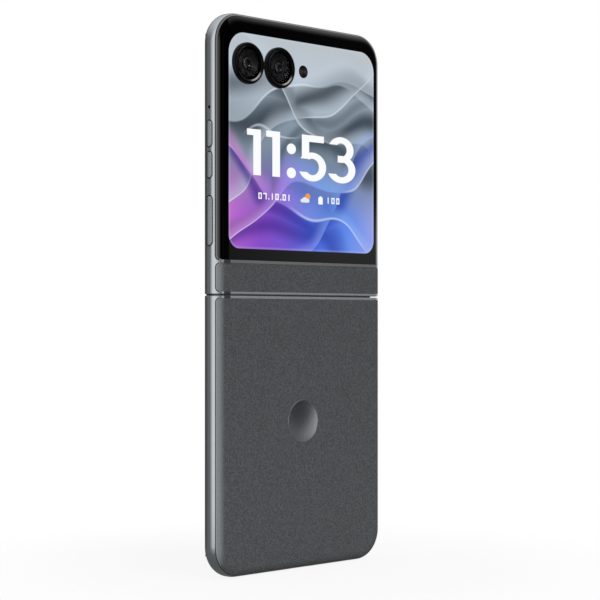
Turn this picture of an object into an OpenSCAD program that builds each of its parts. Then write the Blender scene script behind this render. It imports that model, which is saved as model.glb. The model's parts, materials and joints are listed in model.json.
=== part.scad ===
// Folding phone, shown unfolded: two half frames, a geared double-axis hinge,
// a flexible inner screen, a cover screen with two cameras, keys and a card tray.
// It stands on its lower end. Z runs along the phone, X across it with the keys on +X,
// and the inner screen faces -Y. Millimetres.

/* [Body] */
// Length of the unfolded phone
body_length = 171.3; // [170:0.1:174]
// Width across the frames
body_width = 74; // [73.6:0.1:76]
// Depth of the back face behind the front of the inner screen
back_depth = 6.8; // [6.8:0.05:7.1]
// Radius of the phone's outer corners, seen from the back
corner_r = 9.6; // [8.6:0.1:11]
// Radius that rounds the long edges of the body
edge_r = 3; // [2.8:0.05:3.2]
// Thickness of the frames' side walls
side_wall = 1.9; // [1.8:0.05:2]
// Thickness of each frame's middle plate
floor_thick = 0.6; // [0.5:0.05:0.6]
// Height of the front bezel above the screen
bezel_rise = 0.45; // [0.35:0.05:0.55]
// Width of the bezel and border, from the side of the body to the picture
bezel_reach = 3.8; // [3.5:0.1:4.2]
// Height of the soft pads above the bezel
pad_rise = 0.3; // [0.2:0.05:0.4]

/* [Back panels] */
// Thickness of the back panels
panel_thick = 0.85; // [0.8:0.01:0.9]
// Distance from the side of the body to the edge of the back panels
panel_inset = 1; // [0.95:0.01:1.1]
// Radius of the back panels' corners at the fold and at the rib
panel_corner_r = 1.3; // [0.8:0.1:1.8]
// Gap around each back panel
panel_gap = 0.08; // [0.05:0.01:0.12]
// Distance from the fold line to the outer edge of each frame's lip
lip_end = 1; // [0.8:0.05:1.2]
// Distance from the fold line to the rib below the cover glass
rib_start = 9.5; // [9.3:0.1:9.8]
// Width of the rib below the cover glass
rib_width = 1.1; // [0.9:0.1:1.3]
// Diameter of the plain metal disc in the lower cover
disc_d = 13.6; // [10:0.1:16]
// Height of that disc's centre above the lower end
disc_height = 46.3; // [40:0.1:60]
// Width of the plastic breaks in the lips and the rib
break_width = 2.7; // [2:0.1:3.5]
// Distance from the side of the body to the middle of those breaks
break_inset = 4.2; // [4:0.1:7]

/* [Screens] */
// Thickness of the flexible screen
screen_thick = 0.6; // [0.5:0.01:0.6]
// Thickness of the metal plate under the flexible screen
plate_thick = 0.15; // [0.1:0.01:0.15]
// Distance from the side of the body to the edge of the flexible screen
screen_inset = 2.7; // [2.6:0.05:2.9]
// Thickness of the cover screen's panel under the glass
cover_screen_thick = 0.75; // [0.6:0.05:0.8]
// Distance from the side of the body to the cover screen's panel
cover_screen_side = 3; // [2.5:0.1:4]
// Distance from the upper end to the cover screen's panel
cover_screen_end = 5.65; // [5:0.05:7]

/* [Hinge] */
// Distance from the fold line to each fold axis
axis_offset = 1.125; // [1.125:0.005:1.15]
// Half of the slit between the frames at the fold
slit_half = 0.2; // [0.18:0.01:0.25]
// Chamfer on the frames' edges at the slit
slit_chamfer = 0.22; // [0.1:0.01:0.25]
// Radius of the hollow that each frame turns around the spine with
hollow_r = 6; // [5.98:0.01:6.02]
// Depth of the spine cover's flat back
spine_depth = 3.555; // [3.54:0.005:3.57]
// Half of the width of the spine cover's flat back
spine_flat = 2.6; // [2.55:0.01:2.62]
// Radius of the spine cover's rounded sides
spine_arc_r = 4.857; // [4.83:0.001:4.86]
// Depth of the spine cover's edges
spine_edge_depth = 1.05; // [1:0.01:1.1]
// Wall of the spine cover
spine_wall = 0.4; // [0.35:0.01:0.4]
// Distance from the side of the body to the middle of each hinge module
module_inset = 13; // [12.5:0.1:14]
// Radius to the middle of the curved rails
rail_r = 1.7; // [1.69:0.01:1.71]
// Thickness of the curved rails
rail_thick = 0.8; // [0.75:0.01:0.82]
// Angle at which the curved rails end
rail_end_angle = 135; // [130:1:136]
// Width of the rail arms
rail_arm_width = 2.8; // [2.6:0.05:2.85]
// Thickness of the rail arms' feet
rail_arm_thick = 0.7; // [0.6:0.01:0.7]
// Reach of the rail arms from their fold axis
rail_arm_reach = 8.9; // [8.6:0.1:9]
// Depth of the gear shafts
gear_depth = 1.98; // [1.97:0.01:1.99]
// Pitch radius of the timing gears
gear_r = 0.96; // [0.955:0.001:0.962]
// Length of the timing gears along their shafts
gear_width = 2.6; // [2.4:0.05:2.65]
// Radius of the gear shafts
shaft_r = 0.35; // [0.3:0.01:0.36]
// Gap between a gear and its shaft
shaft_gap = 0.03; // [0.02:0.005:0.05]
// Reach of the timing arms from their shafts
sync_reach = 8.25; // [8.1:0.01:8.3]
// Thickness of the timing arms
sync_thick = 0.7; // [0.6:0.01:0.7]

/* [Cameras] */
// Outer diameter of the camera rings
ring_d = 12.7; // [12:0.1:13]
// Height of the camera rings above the cover glass
ring_rise = 1.3; // [1.1:0.05:1.5]
// Width of a camera ring's rim
ring_rim = 1.35; // [1.2:0.05:1.5]
// Distance from the upper end to the middle of the cameras
camera_end = 15.2; // [14.8:0.1:16]
// Distance from the side of the body to the middle of the first camera
camera_side = 12.4; // [11.8:0.1:13]
// Distance between the two cameras
camera_spacing = 13.5; // [13.3:0.1:14]
// Diameter of the flash window
flash_d = 4; // [3.6:0.1:4.4]
// Diameter of the camera in the inner screen
selfie_d = 4; // [3.6:0.1:4.2]
// Distance from the upper end to the inner camera
selfie_place = 8.3; // [8.2:0.1:8.6]

/* [Keys and ports] */
// Width of the volume keys
volume_width = 2; // [1.8:0.05:2.1]
// Length of each volume key
volume_length = 7.7; // [7:0.1:8]
// Gap between the two volume keys
volume_space = 1.7; // [1.5:0.1:3]
// Width of the power key
power_width = 2.3; // [2:0.05:2.4]
// Length of the power key
power_length = 14.7; // [14:0.1:15.2]
// Distance from the fold line to the middle of the power key
power_place = 22.25; // [21:0.05:24]
// Gap between the power key and the lower volume key
power_space = 5.6; // [4.5:0.1:6.5]
// How far the keys stand out of the side
key_rise = 0.3; // [0.25:0.01:0.35]
// Gap around each key
key_gap = 0.1; // [0.08:0.01:0.12]
// Distance from the upper volume key to the side microphone
mic_space = 4.15; // [3:0.05:5]
// Diameter of the microphone holes
mic_d = 1; // [0.7:0.05:1.2]
// Width of the charging port's mouth
port_width = 8.34; // [8.34:0.01:8.4]
// Height of the charging port's mouth
port_height = 2.56; // [2.56:0.01:2.6]
// Length of the charging port
port_length = 7.3; // [7:0.1:7.6]
// Diameter of the loudspeaker's holes
speaker_hole_d = 1.1; // [0.9:0.05:1.3]
// Distance between the loudspeaker's holes
speaker_hole_pitch = 2; // [1.9:0.05:2.2]
// Length of the card tray's face
tray_length = 14.6; // [14:0.1:15]
// Width of the card tray's face
tray_width = 1.9; // [1.7:0.05:2]
// Thickness of the card tray
tray_thick = 1.2; // [1.1:0.05:1.25]
// Reach of the card tray into the phone
tray_reach = 17; // [16:0.1:17.5]
// Length of the tray's pocket for the card
card_length = 12.5; // [12.3:0.1:12.8]
// Width of the tray's pocket for the card
card_width = 9; // [8.8:0.1:9.2]
// Height of the card tray's middle above the lower end
tray_height = 16.7; // [16.5:0.1:17.2]

/* [Inner parts] */
// Depth of the front of the circuit boards
board_depth = 1.6; // [1.5:0.05:1.65]
// Thickness of the circuit boards
board_thick = 0.8; // [0.7:0.05:0.8]
// Height of the shield cans
can_height = 1.5; // [1.3:0.05:1.6]
// Thickness of the batteries
battery_thick = 3.4; // [3:0.05:3.4]
// Length of the main board's part beside the cameras
board_zone = 28.25; // [27.5:0.25:30]
// Width of the main board's column beside the upper battery
board_column = 22.3; // [20:0.1:23]
// Gap between the upper battery and the boards round it
battery_space = 2; // [1.5:0.1:3]
// Gap between the lower battery and the side walls
battery_side = 1.6; // [1.2:0.1:4]
// Length of the room for the parts beyond the lower battery
end_zone = 28.75; // [28:0.25:30]
// Outer diameter of the charging coil
coil_d = 42; // [36:0.5:42]
// Loose fit between parts that sit in each other
fit = 0.05; // [0.03:0.01:0.06]

/* [Hidden] */
$fn = 64;

half_length = body_length / 2;
half_width = body_width / 2;
front_depth = -(bezel_rise + pad_rise);
ring_depth = back_depth + ring_rise;
mid_depth = (front_depth + ring_depth) / 2;
body_mid_depth = (back_depth - bezel_rise) / 2;

// Depths and edges of the frames
seat_depth = back_depth - panel_thick;
roof_depth = seat_depth + 0.35;
roof_inset = panel_inset + 1.5;
rib_end = rib_start + rib_width;
floor_front = screen_thick + plate_thick;
floor_depth = floor_front + floor_thick;
seat_inset = screen_inset - 0.2;
room_x = half_width - side_wall;
room_end = half_length - side_wall;
room_corner_r = corner_r - side_wall;
break_x = half_width - break_inset;
break_gap = 0.01;

// Spine of the hinge, and the screen over it
spine_x = room_x - 0.2;
screen_x = half_width - screen_inset;
fold_half = axis_offset - 0.025;
base_half = 5;
base_front = floor_front + 0.1;
base_top = screen_thick + 0.02;
rail_inner_r = rail_r - rail_thick / 2;
rail_outer_r = rail_r + rail_thick / 2;
rail_front = base_front - 0.05;
rail_back = rail_front + rail_arm_thick;
cap_half = 3.8;
far = 10;

// Places of the hinge module's walls and slots, outward from its own middle
module_place = half_width - module_inset;
end_wall = 1.2;
inner_wall = 1;
slot_width = 3;
arm_room = 0.1;
module_start = -8;
upper_slot = module_start + end_wall;
gear_slot = upper_slot + slot_width + inner_wall;
gear_start = gear_slot + arm_room;
spring_start = gear_start + gear_width + arm_room;
spring_pitch = 0.28;
spring_count = 6;
gear_slot_width = spring_start + spring_count * spring_pitch + 0.12 - gear_slot;
lower_slot = gear_slot + gear_slot_width + inner_wall;
module_end = lower_slot + slot_width + end_wall;
shaft_start = gear_slot - inner_wall + arm_room;
shaft_end = lower_slot - arm_room;
tunnel_start = 4;
tunnel_height = 1.8;

// Timing gears: centre distances, tooth form and running play
outer_gear = 3 * gear_r;
shaft_places = [-outer_gear, -gear_r, gear_r, outer_gear];
gear_teeth = 12;
half_pitch = 180 / gear_teeth;
gear_addendum = 0.14;
gear_dedendum = 0.19;
gear_backlash = 0.03;
gear_pressure = 20;

// Small screws
screw_r = 0.4;
screw_gap = 0.02;
arm_head_r = 0.6;
arm_head_height = 0.22;
board_head_r = 0.95;
board_head_height = 0.4;
arm_screw_w = axis_offset + rail_arm_reach - 0.85;
arm_screw_length = rail_arm_thick + 1;
boss_r = 1.6;

// Cameras, cover screen and the parts at the upper end
camera_x = [half_width - camera_side, half_width - camera_side - camera_spacing];
camera_w = half_length - camera_end;
selfie_w = half_length - selfie_place;
sleeve_r = ring_d / 2 - 0.6;
lens_r = ring_d / 2 - ring_rim;
lens_depth = ring_depth - 0.8;
lens_thick = 0.45;
barrel_r = lens_r - 0.6;
camera_half = 5.5;
cover_screen_start = rib_end + 1;
cover_screen_depth = seat_depth - 0.02 - cover_screen_thick;
earpiece_slot = 14;
earpiece_width = 0.5;
earpiece_w = room_end - earpiece_width;

// Boards and batteries
board_back = board_depth + board_thick;
board_gap = 0.6;
board_edge = 1.4;
board_top = room_end - board_zone;
board_arm = 7;
can_wall = 0.2;
column_x = room_x - board_column;
battery_depth = floor_depth + 0.1;
battery_start = rib_end + 1.9;
battery_gap = 0.8;
can_start = battery_start + 5.5;
can_split = (can_start + board_top) / 2;
lower_zone = room_end - end_zone;
lower_battery_end = lower_zone;
coil_w = (battery_start + lower_battery_end) / 2;
motor_w = lower_zone + 2;
motor_size = [13, 4.8];
speaker_w = motor_w + motor_size[1] + 0.7;
sub_board_w = lower_zone + 4;
sub_board_edge = 9.5;

// Keys, card tray and port
key_depth = body_mid_depth + 0.15;
key_flange = 0.3;
key_inner_x = room_x - 0.4;
key_outer_x = half_width + key_rise;
key_plate_x = room_x - 0.9;
key_plate_thick = 0.2;
power_w = power_place;
volume_down_w = power_w + (power_length + volume_length) / 2 + power_space;
volume_up_w = volume_down_w + volume_length + volume_space;
mic_w = volume_up_w + volume_length / 2 + mic_space;
port_wall = 0.3;
port_mouth = half_length - 0.5;
tongue_width = 6.69;
tongue_thick = 0.7;
tray_w = half_length - tray_height;
tray_face_x = room_x - 0.4;
speaker_x = 21;
speaker_holes = 6;

// Places of the screws that hold the circuit boards
upper_spots = [[column_x + 18.2, battery_start + 2], [-(room_x - 4.1), room_end - 7.75],
    [column_x + 18.2, board_top + 4.5]];
lower_spots = [[-(room_x - 5.1), sub_board_w + 1.85], [7, sub_board_w + 1.85], [-13, room_end - 3.25]];

/* ---- placing and basic forms ---- */

// Pieces of the upper half are drawn lying down: x across, y away from the fold, z back
module on_upper()
    translate([0, -mid_depth, half_length])
        mirror([0, 1, -1])
            children();

// The same for the lower half
module on_lower()
    translate([0, -mid_depth, half_length])
        rotate([-90, 0, 0])
            children();

// Extrudes an outline drawn in length and depth across the phone, from x0 to x1
module across(x0, x1)
    translate([x0, 0, 0])
        rotate([90, 0, 90])
            linear_extrude(height = x1 - x0)
                children();

// Extrudes an outline drawn in plan from one depth to another
module layer(d0, d1)
    translate([0, 0, d0])
        linear_extrude(height = d1 - d0)
            children();

// A disc about an axis that runs through the phone's depth
module disc(x, w, r, d0, d1)
    translate([x, w, d0])
        cylinder(r = r, h = d1 - d0);

// Rectangle in plan with one corner radius near the fold and another at the far end
module plan(half, w0, w1, near_r, far_r) {
    translate([-half, w0 + near_r])
        square([2 * half, w1 - w0 - near_r - far_r]);
    translate([near_r - half, w0])
        square([2 * (half - near_r), w1 - w0 - far_r]);
    translate([far_r - half, w0 + near_r])
        square([2 * (half - far_r), w1 - w0 - near_r]);
    for (side = [-1, 1]) {
        if (near_r > 0)
            translate([side * (half - near_r), w0 + near_r])
                circle(r = near_r);
        if (far_r > 0)
            translate([side * (half - far_r), w1 - far_r])
                circle(r = far_r);
    }
}

// Rounded rectangle between two corners
module pad(x0, x1, y0, y1, r)
    translate([(x0 + x1) / 2, 0])
        plan((x1 - x0) / 2, y0, y1, r, r);

// Slot outline with round ends, longer along x
module slot(length, width) {
    square([length - width, width], center = true);
    for (side = [-1, 1])
        translate([side * (length - width) / 2, 0])
            circle(d = width);
}

// Section of the body's rounded edge: x runs outward to `outer`, y is depth
module edge_section(outer, inset, d0, d1)
    intersection() {
        translate([0, d0])
            square([outer - inset, d1 - d0]);
        union() {
            translate([0, -bezel_rise])
                square([outer - edge_r, back_depth + bezel_rise]);
            translate([0, edge_r - bezel_rise])
                square([outer, back_depth + bezel_rise - 2 * edge_r]);
            for (d = [edge_r - bezel_rise, back_depth - edge_r])
                translate([outer - edge_r, d])
                    circle(r = edge_r);
        }
    }

// Section across the whole body
module body_section(inset, d0, d1)
    intersection() {
        translate([inset - half_width, d0])
            square([2 * (half_width - inset), d1 - d0]);
        union() {
            translate([edge_r - half_width, -bezel_rise])
                square([2 * (half_width - edge_r), back_depth + bezel_rise]);
            translate([-half_width, edge_r - bezel_rise])
                square([2 * half_width, back_depth + bezel_rise - 2 * edge_r]);
            for (side = [-1, 1], d = [edge_r - bezel_rise, back_depth - edge_r])
                translate([side * (half_width - edge_r), d])
                    circle(r = edge_r);
        }
    }

// Straight stretch of the rounded body between two distances from the fold
module body_bar(inset, d0, d1, w0, w1)
    translate([0, w0, 0])
        mirror([0, 1, -1])
            linear_extrude(height = w1 - w0)
                body_section(inset, d0, d1);

// First slice of the rounded body at w0, with all its edges chamfered
module chamfered_slice(w0, c) {
    flat = half_width - edge_r;
    across(-flat, flat)
        polygon([[w0, c - bezel_rise], [w0, back_depth - c], [w0 + c, back_depth], [w0 + c, -bezel_rise]]);
    layer(edge_r - bezel_rise, back_depth - edge_r)
        polygon([[c - half_width, w0], [half_width - c, w0], [half_width, w0 + c], [-half_width, w0 + c]]);
    for (side = [-1, 1], d = [edge_r - bezel_rise, back_depth - edge_r])
        translate([side * flat, w0, d])
            rotate([-90, 0, 0])
                cylinder(r1 = edge_r - c, r2 = edge_r, h = c);
}

// Straight stretch of the body from the slit on, with chamfered edges at the slit
module fold_bar(d0, d1, w1) {
    intersection() {
        chamfered_slice(slit_half, slit_chamfer);
        layer(d0, d1)
            square([2 * half_width + 1, 2 * rib_end], center = true);
    }
    body_bar(0, d0, d1, slit_half + slit_chamfer, w1);
}

// The rounded body from a distance w0 to its far end, with both corners
module body_slab(inset, d0, d1, w0) {
    body_bar(inset, d0, d1, w0, half_length - corner_r);
    translate([0, half_length - corner_r, 0])
        across(corner_r - half_width, half_width - corner_r)
            edge_section(corner_r, inset, d0, d1);
    for (side = [0, 1])
        mirror([side, 0, 0])
            translate([half_width - corner_r, half_length - corner_r, 0])
                rotate_extrude(angle = 90)
                    edge_section(corner_r, inset, d0, d1);
}

// Outline of a back panel that reaches the far end
module long_panel_plan(w0, grow = 0)
    plan(half_width - panel_inset + grow, w0 - grow, half_length - panel_inset + grow,
        panel_corner_r + grow, corner_r - panel_inset + grow);

// Outline of the strip between the lip and the rib
module strip_plan(grow = 0)
    plan(half_width - panel_inset + grow, lip_end + panel_gap - grow,
        rib_start - panel_gap + grow, panel_corner_r + grow, panel_corner_r + grow);

/* ---- frames ---- */

// Block behind the fold: each frame's walls, hollow and pockets start from this
module frame_shell(raised_end, arm_slot) {
    difference() {
        union() {
            fold_bar(0, seat_depth, rib_end);
            body_slab(0, 0, seat_depth, rib_end);
            translate([roof_inset + fit - half_width, slit_half, seat_depth])
                cube([2 * (half_width - roof_inset - fit), rib_end - slit_half, roof_depth - seat_depth]);
            fold_bar(seat_depth, back_depth, raised_end);
        }
        layer(-1, floor_front)
            plan(half_width - seat_inset, -1, half_length - seat_inset, 0, corner_r - seat_inset);
        layer(floor_depth, seat_depth + 1)
            plan(room_x, rib_end, room_end, 0, room_corner_r);
        across(-room_x, room_x)
            translate([axis_offset, 0])
                circle(r = hollow_r);
        both_modules()
            hinge_pockets(arm_slot);
    }
}

// Recess for a rail arm's foot and its screw, and tunnel for a timing arm
module hinge_pockets(arm_slot) {
    foot_width = rail_arm_width + 2 * fit;
    translate([arm_slot + (slot_width - foot_width) / 2, axis_offset, -1])
        cube([foot_width, rail_arm_reach + fit, 1 + rail_back]);
    disc(arm_slot + slot_width / 2, arm_screw_w, screw_r + screw_gap, 0,
        rail_front + arm_screw_length + fit);
    translate([gear_start - arm_room, tunnel_start, floor_depth - fit])
        cube([gear_width + 2 * arm_room, rib_end + 1 - tunnel_start, tunnel_height]);
}

// Cuts for the plastic break in a lip or rib that spans w0 to w1
module break_cut(w0, w1, grow = 0)
    translate([break_x - break_width / 2 - grow, w0, roof_depth - grow])
        cube([break_width + 2 * grow, w1 - w0, 2]);

module lower_frame() {
    color("slategray")
        on_lower()
            difference() {
                union() {
                    difference() {
                        frame_shell(lip_end + panel_corner_r, lower_slot);
                        layer(seat_depth, back_depth + 1)
                            difference() {
                                long_panel_plan(lip_end + panel_gap, panel_gap);
                                square([2 * (half_width - roof_inset - fit), 2 * rib_end], center = true);
                            }
                        layer(roof_depth, back_depth + 1)
                            long_panel_plan(lip_end + panel_gap, panel_gap);
                    }
                    bosses(lower_spots);
                }
                break_cut(slit_half - 1, lip_end + panel_gap);
                port_hole();
                speaker_cuts();
                tray_cut();
                boss_holes(lower_spots);
                lower_mic_cut();
            }
}

// Low pillars that carry a circuit board, tapped for its screws
module bosses(spots)
    for (spot = spots)
        disc(spot[0], spot[1], boss_r, floor_depth - 0.1, board_depth - 0.02);

module boss_holes(spots)
    for (spot = spots)
        disc(spot[0], spot[1], screw_r + screw_gap, floor_front + 0.15, board_back);

module port_hole()
    translate([0, half_length + 1, body_mid_depth])
        rotate([90, 0, 0])
            linear_extrude(height = side_wall + 2)
                slot(port_width + 2 * port_wall + 2 * fit, port_height + 2 * port_wall + 2 * fit);

module speaker_cuts()
    for (i = [0 : speaker_holes - 1])
        translate([speaker_x + (i - (speaker_holes - 1) / 2) * speaker_hole_pitch, half_length + 1,
            body_mid_depth])
            rotate([90, 0, 0])
                cylinder(d = speaker_hole_d, h = side_wall + 2, $fn = 24);

module lower_mic_cut()
    translate([-speaker_x / 2, half_length + 1, body_mid_depth])
        rotate([90, 0, 0])
            cylinder(d = mic_d, h = side_wall + 2, $fn = 24);

module tray_cut()
    translate([0, tray_w, body_mid_depth])
        across(-half_width - 1, -room_x + 1)
            slot(tray_length + 2 * fit, tray_width + 2 * fit);

module upper_frame() {
    color("slategray")
        on_upper()
            difference() {
                union() {
                    difference() {
                        frame_shell(rib_end + panel_corner_r, upper_slot);
                        layer(seat_depth, back_depth + 1)
                            difference() {
                                strip_plan(panel_gap);
                                square([2 * (half_width - roof_inset - fit), 2 * rib_end], center = true);
                            }
                        layer(roof_depth, back_depth + 1)
                            strip_plan(panel_gap);
                        layer(seat_depth, back_depth + 1)
                            long_panel_plan(rib_end + panel_gap, panel_gap);
                    }
                    bosses(upper_spots);
                }
                break_cut(slit_half - 1, lip_end + panel_gap);
                break_cut(rib_start - panel_gap, rib_end + panel_gap);
                key_cut(volume_up_w, volume_length, volume_width);
                key_cut(volume_down_w, volume_length, volume_width);
                key_cut(power_w, power_length, power_width);
                side_mic_cut();
                boss_holes(upper_spots);
                disc(0, selfie_w, selfie_d / 2 + 0.1, -1, floor_depth + 1);
                earpiece_cut(-1, floor_depth + 1);
            }
}

module key_cut(w, length, width)
    translate([0, w, key_depth])
        across(room_x - 1, half_width + 1)
            slot(length + 2 * key_gap, width + 2 * key_gap);

module side_mic_cut()
    translate([0, mic_w, key_depth])
        across(room_x - 1, half_width + 1)
            circle(d = mic_d, $fn = 24);

module earpiece_cut(d0, d1, grow = 0)
    layer(d0, d1)
        pad(-earpiece_slot / 2 - grow, earpiece_slot / 2 + grow, earpiece_w - grow,
            earpiece_w + earpiece_width + grow, 0.2);

/* ---- back panels ---- */

// Back panel that follows the body's rounded edges inside a plan outline
module back_panel(w0)
    intersection() {
        body_slab(0, seat_depth, back_depth, w0);
        layer(seat_depth - 1, back_depth + 1)
            children();
    }

module cover_glass() {
    color("black")
        on_upper()
            difference() {
                back_panel(rib_end)
                    long_panel_plan(rib_end + panel_gap);
                for (x = camera_x)
                    disc(x, camera_w, sleeve_r + fit, seat_depth - 1, back_depth + 1);
                disc(0, camera_w, flash_d / 2 + fit, seat_depth - 1, back_depth + 1);
            }
}

module cover_screen() {
    color("lightsteelblue")
        on_upper()
            difference() {
                layer(cover_screen_depth, cover_screen_depth + cover_screen_thick)
                    pad(cover_screen_side - half_width, half_width - cover_screen_side,
                        cover_screen_start, half_length - cover_screen_end, 6);
                for (x = camera_x)
                    disc(x, camera_w, sleeve_r + 0.2, 0, back_depth);
                disc(0, camera_w, flash_d / 2 + 0.2, 0, back_depth);
            }
}

module roof_clear()
    translate([roof_inset - half_width, 0, seat_depth - 1])
        cube([2 * (half_width - roof_inset), rib_end + fit, 1 + roof_depth - seat_depth]);

module upper_back_strip() {
    color("dimgray")
        on_upper()
            difference() {
                intersection() {
                    body_bar(0, seat_depth, back_depth, slit_half, rib_end);
                    layer(seat_depth - 1, back_depth + 1)
                        strip_plan();
                }
                roof_clear();
            }
}

module lower_back_cover() {
    color("dimgray")
        on_lower()
            difference() {
                back_panel(slit_half)
                    long_panel_plan(lip_end + panel_gap);
                roof_clear();
                disc(0, half_length - disc_height, disc_d / 2 + fit, back_depth - 0.5, back_depth + 1);
            }
}

// Dished disc: its bowl is part of a large ball
module metal_disc() {
    dish_r = 60;
    dish_depth = 0.22;
    disc_thick = 0.55;
    color("silver")
        on_lower()
            translate([0, half_length - disc_height, back_depth - 0.5])
                rotate_extrude()
                    difference() {
                        square([disc_d / 2, disc_thick]);
                        translate([0, disc_thick - dish_depth + dish_r])
                            circle(r = dish_r, $fn = 360);
                    }
}

module antenna_breaks_upper() {
    color("dimgray")
        on_upper()
            for (w = [[slit_half, lip_end], [rib_start, rib_end]])
                intersection() {
                    fold_bar(roof_depth, back_depth, rib_end);
                    break_cut(w[0], w[1], -break_gap);
                }
}

module antenna_breaks_lower() {
    color("dimgray")
        on_lower()
            intersection() {
                fold_bar(roof_depth, back_depth, lip_end);
                break_cut(slit_half, lip_end, -break_gap);
            }
}

/* ---- cameras and flash ---- */

// Turned ring: sleeve through the glass, rim with bevelled edges and a seat for the lens
module camera_ring(x)
    translate([x, camera_w, 0])
        rotate_extrude()
            polygon([
                [barrel_r + 0.1, seat_depth + 0.03],
                [sleeve_r, seat_depth + 0.03],
                [sleeve_r, back_depth],
                [ring_d / 2, back_depth],
                [ring_d / 2, ring_depth - 0.45],
                [ring_d / 2 - 0.15, ring_depth - 0.15],
                [ring_d / 2 - 0.45, ring_depth],
                [lens_r + 0.45, ring_depth],
                [lens_r + 0.02, ring_depth - 0.3],
                [lens_r + 0.02, lens_depth],
                [barrel_r + 0.1, lens_depth]
            ]);

module main_camera_ring() {
    color("black") on_upper() camera_ring(camera_x[0]);
}

module wide_camera_ring() {
    color("black") on_upper() camera_ring(camera_x[1]);
}

module camera_glass(x)
    disc(x, camera_w, lens_r, lens_depth, lens_depth + lens_thick);

module main_camera_glass() {
    color("darkslategray") on_upper() camera_glass(camera_x[0]);
}

module wide_camera_glass() {
    color("darkslategray") on_upper() camera_glass(camera_x[1]);
}

// Camera with a square body, a stepped barrel and a domed front lens
module camera_unit(x, eye_r) {
    layer(floor_depth + 0.05, cover_screen_depth - 0.1)
        translate([x, camera_w])
            pad(-camera_half, camera_half, -camera_half, camera_half, 1);
    translate([x, camera_w, 0])
        rotate_extrude()
            polygon([
                [0, cover_screen_depth - 0.2],
                [barrel_r, cover_screen_depth - 0.2],
                [barrel_r, lens_depth - 0.1],
                [barrel_r - 0.5, lens_depth - 0.1],
                [eye_r + 0.4, lens_depth - 0.7],
                [eye_r, lens_depth - 0.7],
                [eye_r * 0.7, lens_depth - 0.52],
                [0, lens_depth - 0.42]
            ]);
}

module main_camera() {
    color("dimgray") on_upper() camera_unit(camera_x[0], 2.4);
}

module wide_camera() {
    color("dimgray") on_upper() camera_unit(camera_x[1], 2);
}

module flash_window() {
    color("white")
        on_upper()
            disc(0, camera_w, flash_d / 2, seat_depth + 0.03, back_depth - 0.02);
}

module flash_led() {
    color("khaki")
        on_upper()
            disc(0, camera_w, flash_d / 2 - 0.4, board_back, seat_depth - 0.03);
}

/* ---- front ---- */

module bezel()
    difference() {
        body_slab(0, -bezel_rise, 0, axis_offset + 0.3);
        layer(-1, 1)
            plan(half_width - bezel_reach, 0, half_length - bezel_reach, 0, corner_r - bezel_reach);
    }

module bumper_spots(r, d0, d1)
    for (side = [-1, 1])
        disc(side * (half_width - bezel_reach / 2 - 0.75), half_length - 7, r, d0, d1);

module upper_bezel() {
    color("black")
        on_upper()
            difference() {
                bezel();
                earpiece_cut(-1, 1, fit);
                bumper_spots(0.85, -1, 1);
            }
}

module lower_bezel() {
    color("black")
        on_lower()
            difference() {
                bezel();
                bumper_spots(0.85, -1, 1);
            }
}

module bumper_pads_upper() {
    color("gray") on_upper() bumper_spots(0.8, front_depth, -0.02);
}

module bumper_pads_lower() {
    color("gray") on_lower() bumper_spots(0.8, front_depth, -0.02);
}

module screen_outline()
    plan(screen_x, axis_offset + 0.03, half_length - screen_inset, 0, corner_r - screen_inset);

module upper_screen() {
    color("midnightblue")
        on_upper()
            difference() {
                layer(0, screen_thick)
                    screen_outline();
                disc(0, selfie_w, selfie_d / 2 + 0.1, -1, 1);
            }
}

module lower_screen() {
    color("midnightblue")
        on_lower()
            layer(0, screen_thick)
                screen_outline();
}

module fold_screen() {
    color("midnightblue")
        on_upper()
            translate([-screen_x, -fold_half, 0])
                cube([2 * screen_x, 2 * fold_half, screen_thick]);
}

module plate_outline()
    plan(screen_x, axis_offset + 0.075, half_length - screen_inset, 0, corner_r - screen_inset);

module upper_screen_plate() {
    color("lightgray")
        on_upper()
            difference() {
                layer(screen_thick, floor_front)
                    plate_outline();
                disc(0, selfie_w, selfie_d / 2 + 0.1, -1, 1);
            }
}

module lower_screen_plate() {
    color("lightgray")
        on_lower()
            layer(screen_thick, floor_front)
                plate_outline();
}

module inner_camera() {
    color("black")
        on_upper() {
            disc(0, selfie_w, selfie_d / 2, 0.1, floor_depth + 0.2);
            layer(floor_depth + 0.05, 4.4)
                translate([0, selfie_w])
                    pad(-3, 3, -3, 1.6, 0.5);
        }
}

module earpiece() {
    color("dimgray")
        on_upper()
            layer(floor_depth + 0.1, 4)
                pad(-8, 8, selfie_w + 2.2, room_end - 0.1, 0.4);
}

module earpiece_mesh() {
    color("darkgray")
        on_upper()
            earpiece_cut(-bezel_rise + 0.15, 0);
}

/* ---- inner parts of the upper half ---- */

module main_board() {
    color("seagreen")
        on_upper()
            difference() {
                layer(board_depth, board_back)
                    intersection() {
                        difference() {
                            union() {
                                pad(column_x, room_x - board_edge, battery_start, board_top + board_arm, 1);
                                pad(-room_x, camera_x[1] - camera_half - 1.8, board_top, room_end, 1);
                                pad(-room_x, room_x - board_edge, board_top, board_top + board_arm, 1);
                            }
                            pad(-9, 9, selfie_w - 3.6, half_length, 0.5);
                        }
                        room_plan(board_gap);
                    }
                board_holes(upper_spots);
            }
}

// Outline of the room inside a frame, shrunk by a gap
module room_plan(gap)
    plan(room_x - gap, 0, room_end - gap, 0, room_corner_r - gap);

module board_holes(spots)
    for (spot = spots)
        disc(spot[0], spot[1], screw_r + arm_room, 0, back_depth);

// Pressed can, open towards the board
module can(x0, x1, w0, w1)
    difference() {
        layer(board_back, board_back + can_height)
            pad(x0, x1, w0, w1, 0.8);
        layer(board_back - 1, board_back + can_height - can_wall)
            pad(x0 + can_wall, x1 - can_wall, w0 + can_wall, w1 - can_wall, 0.6);
    }

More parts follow.
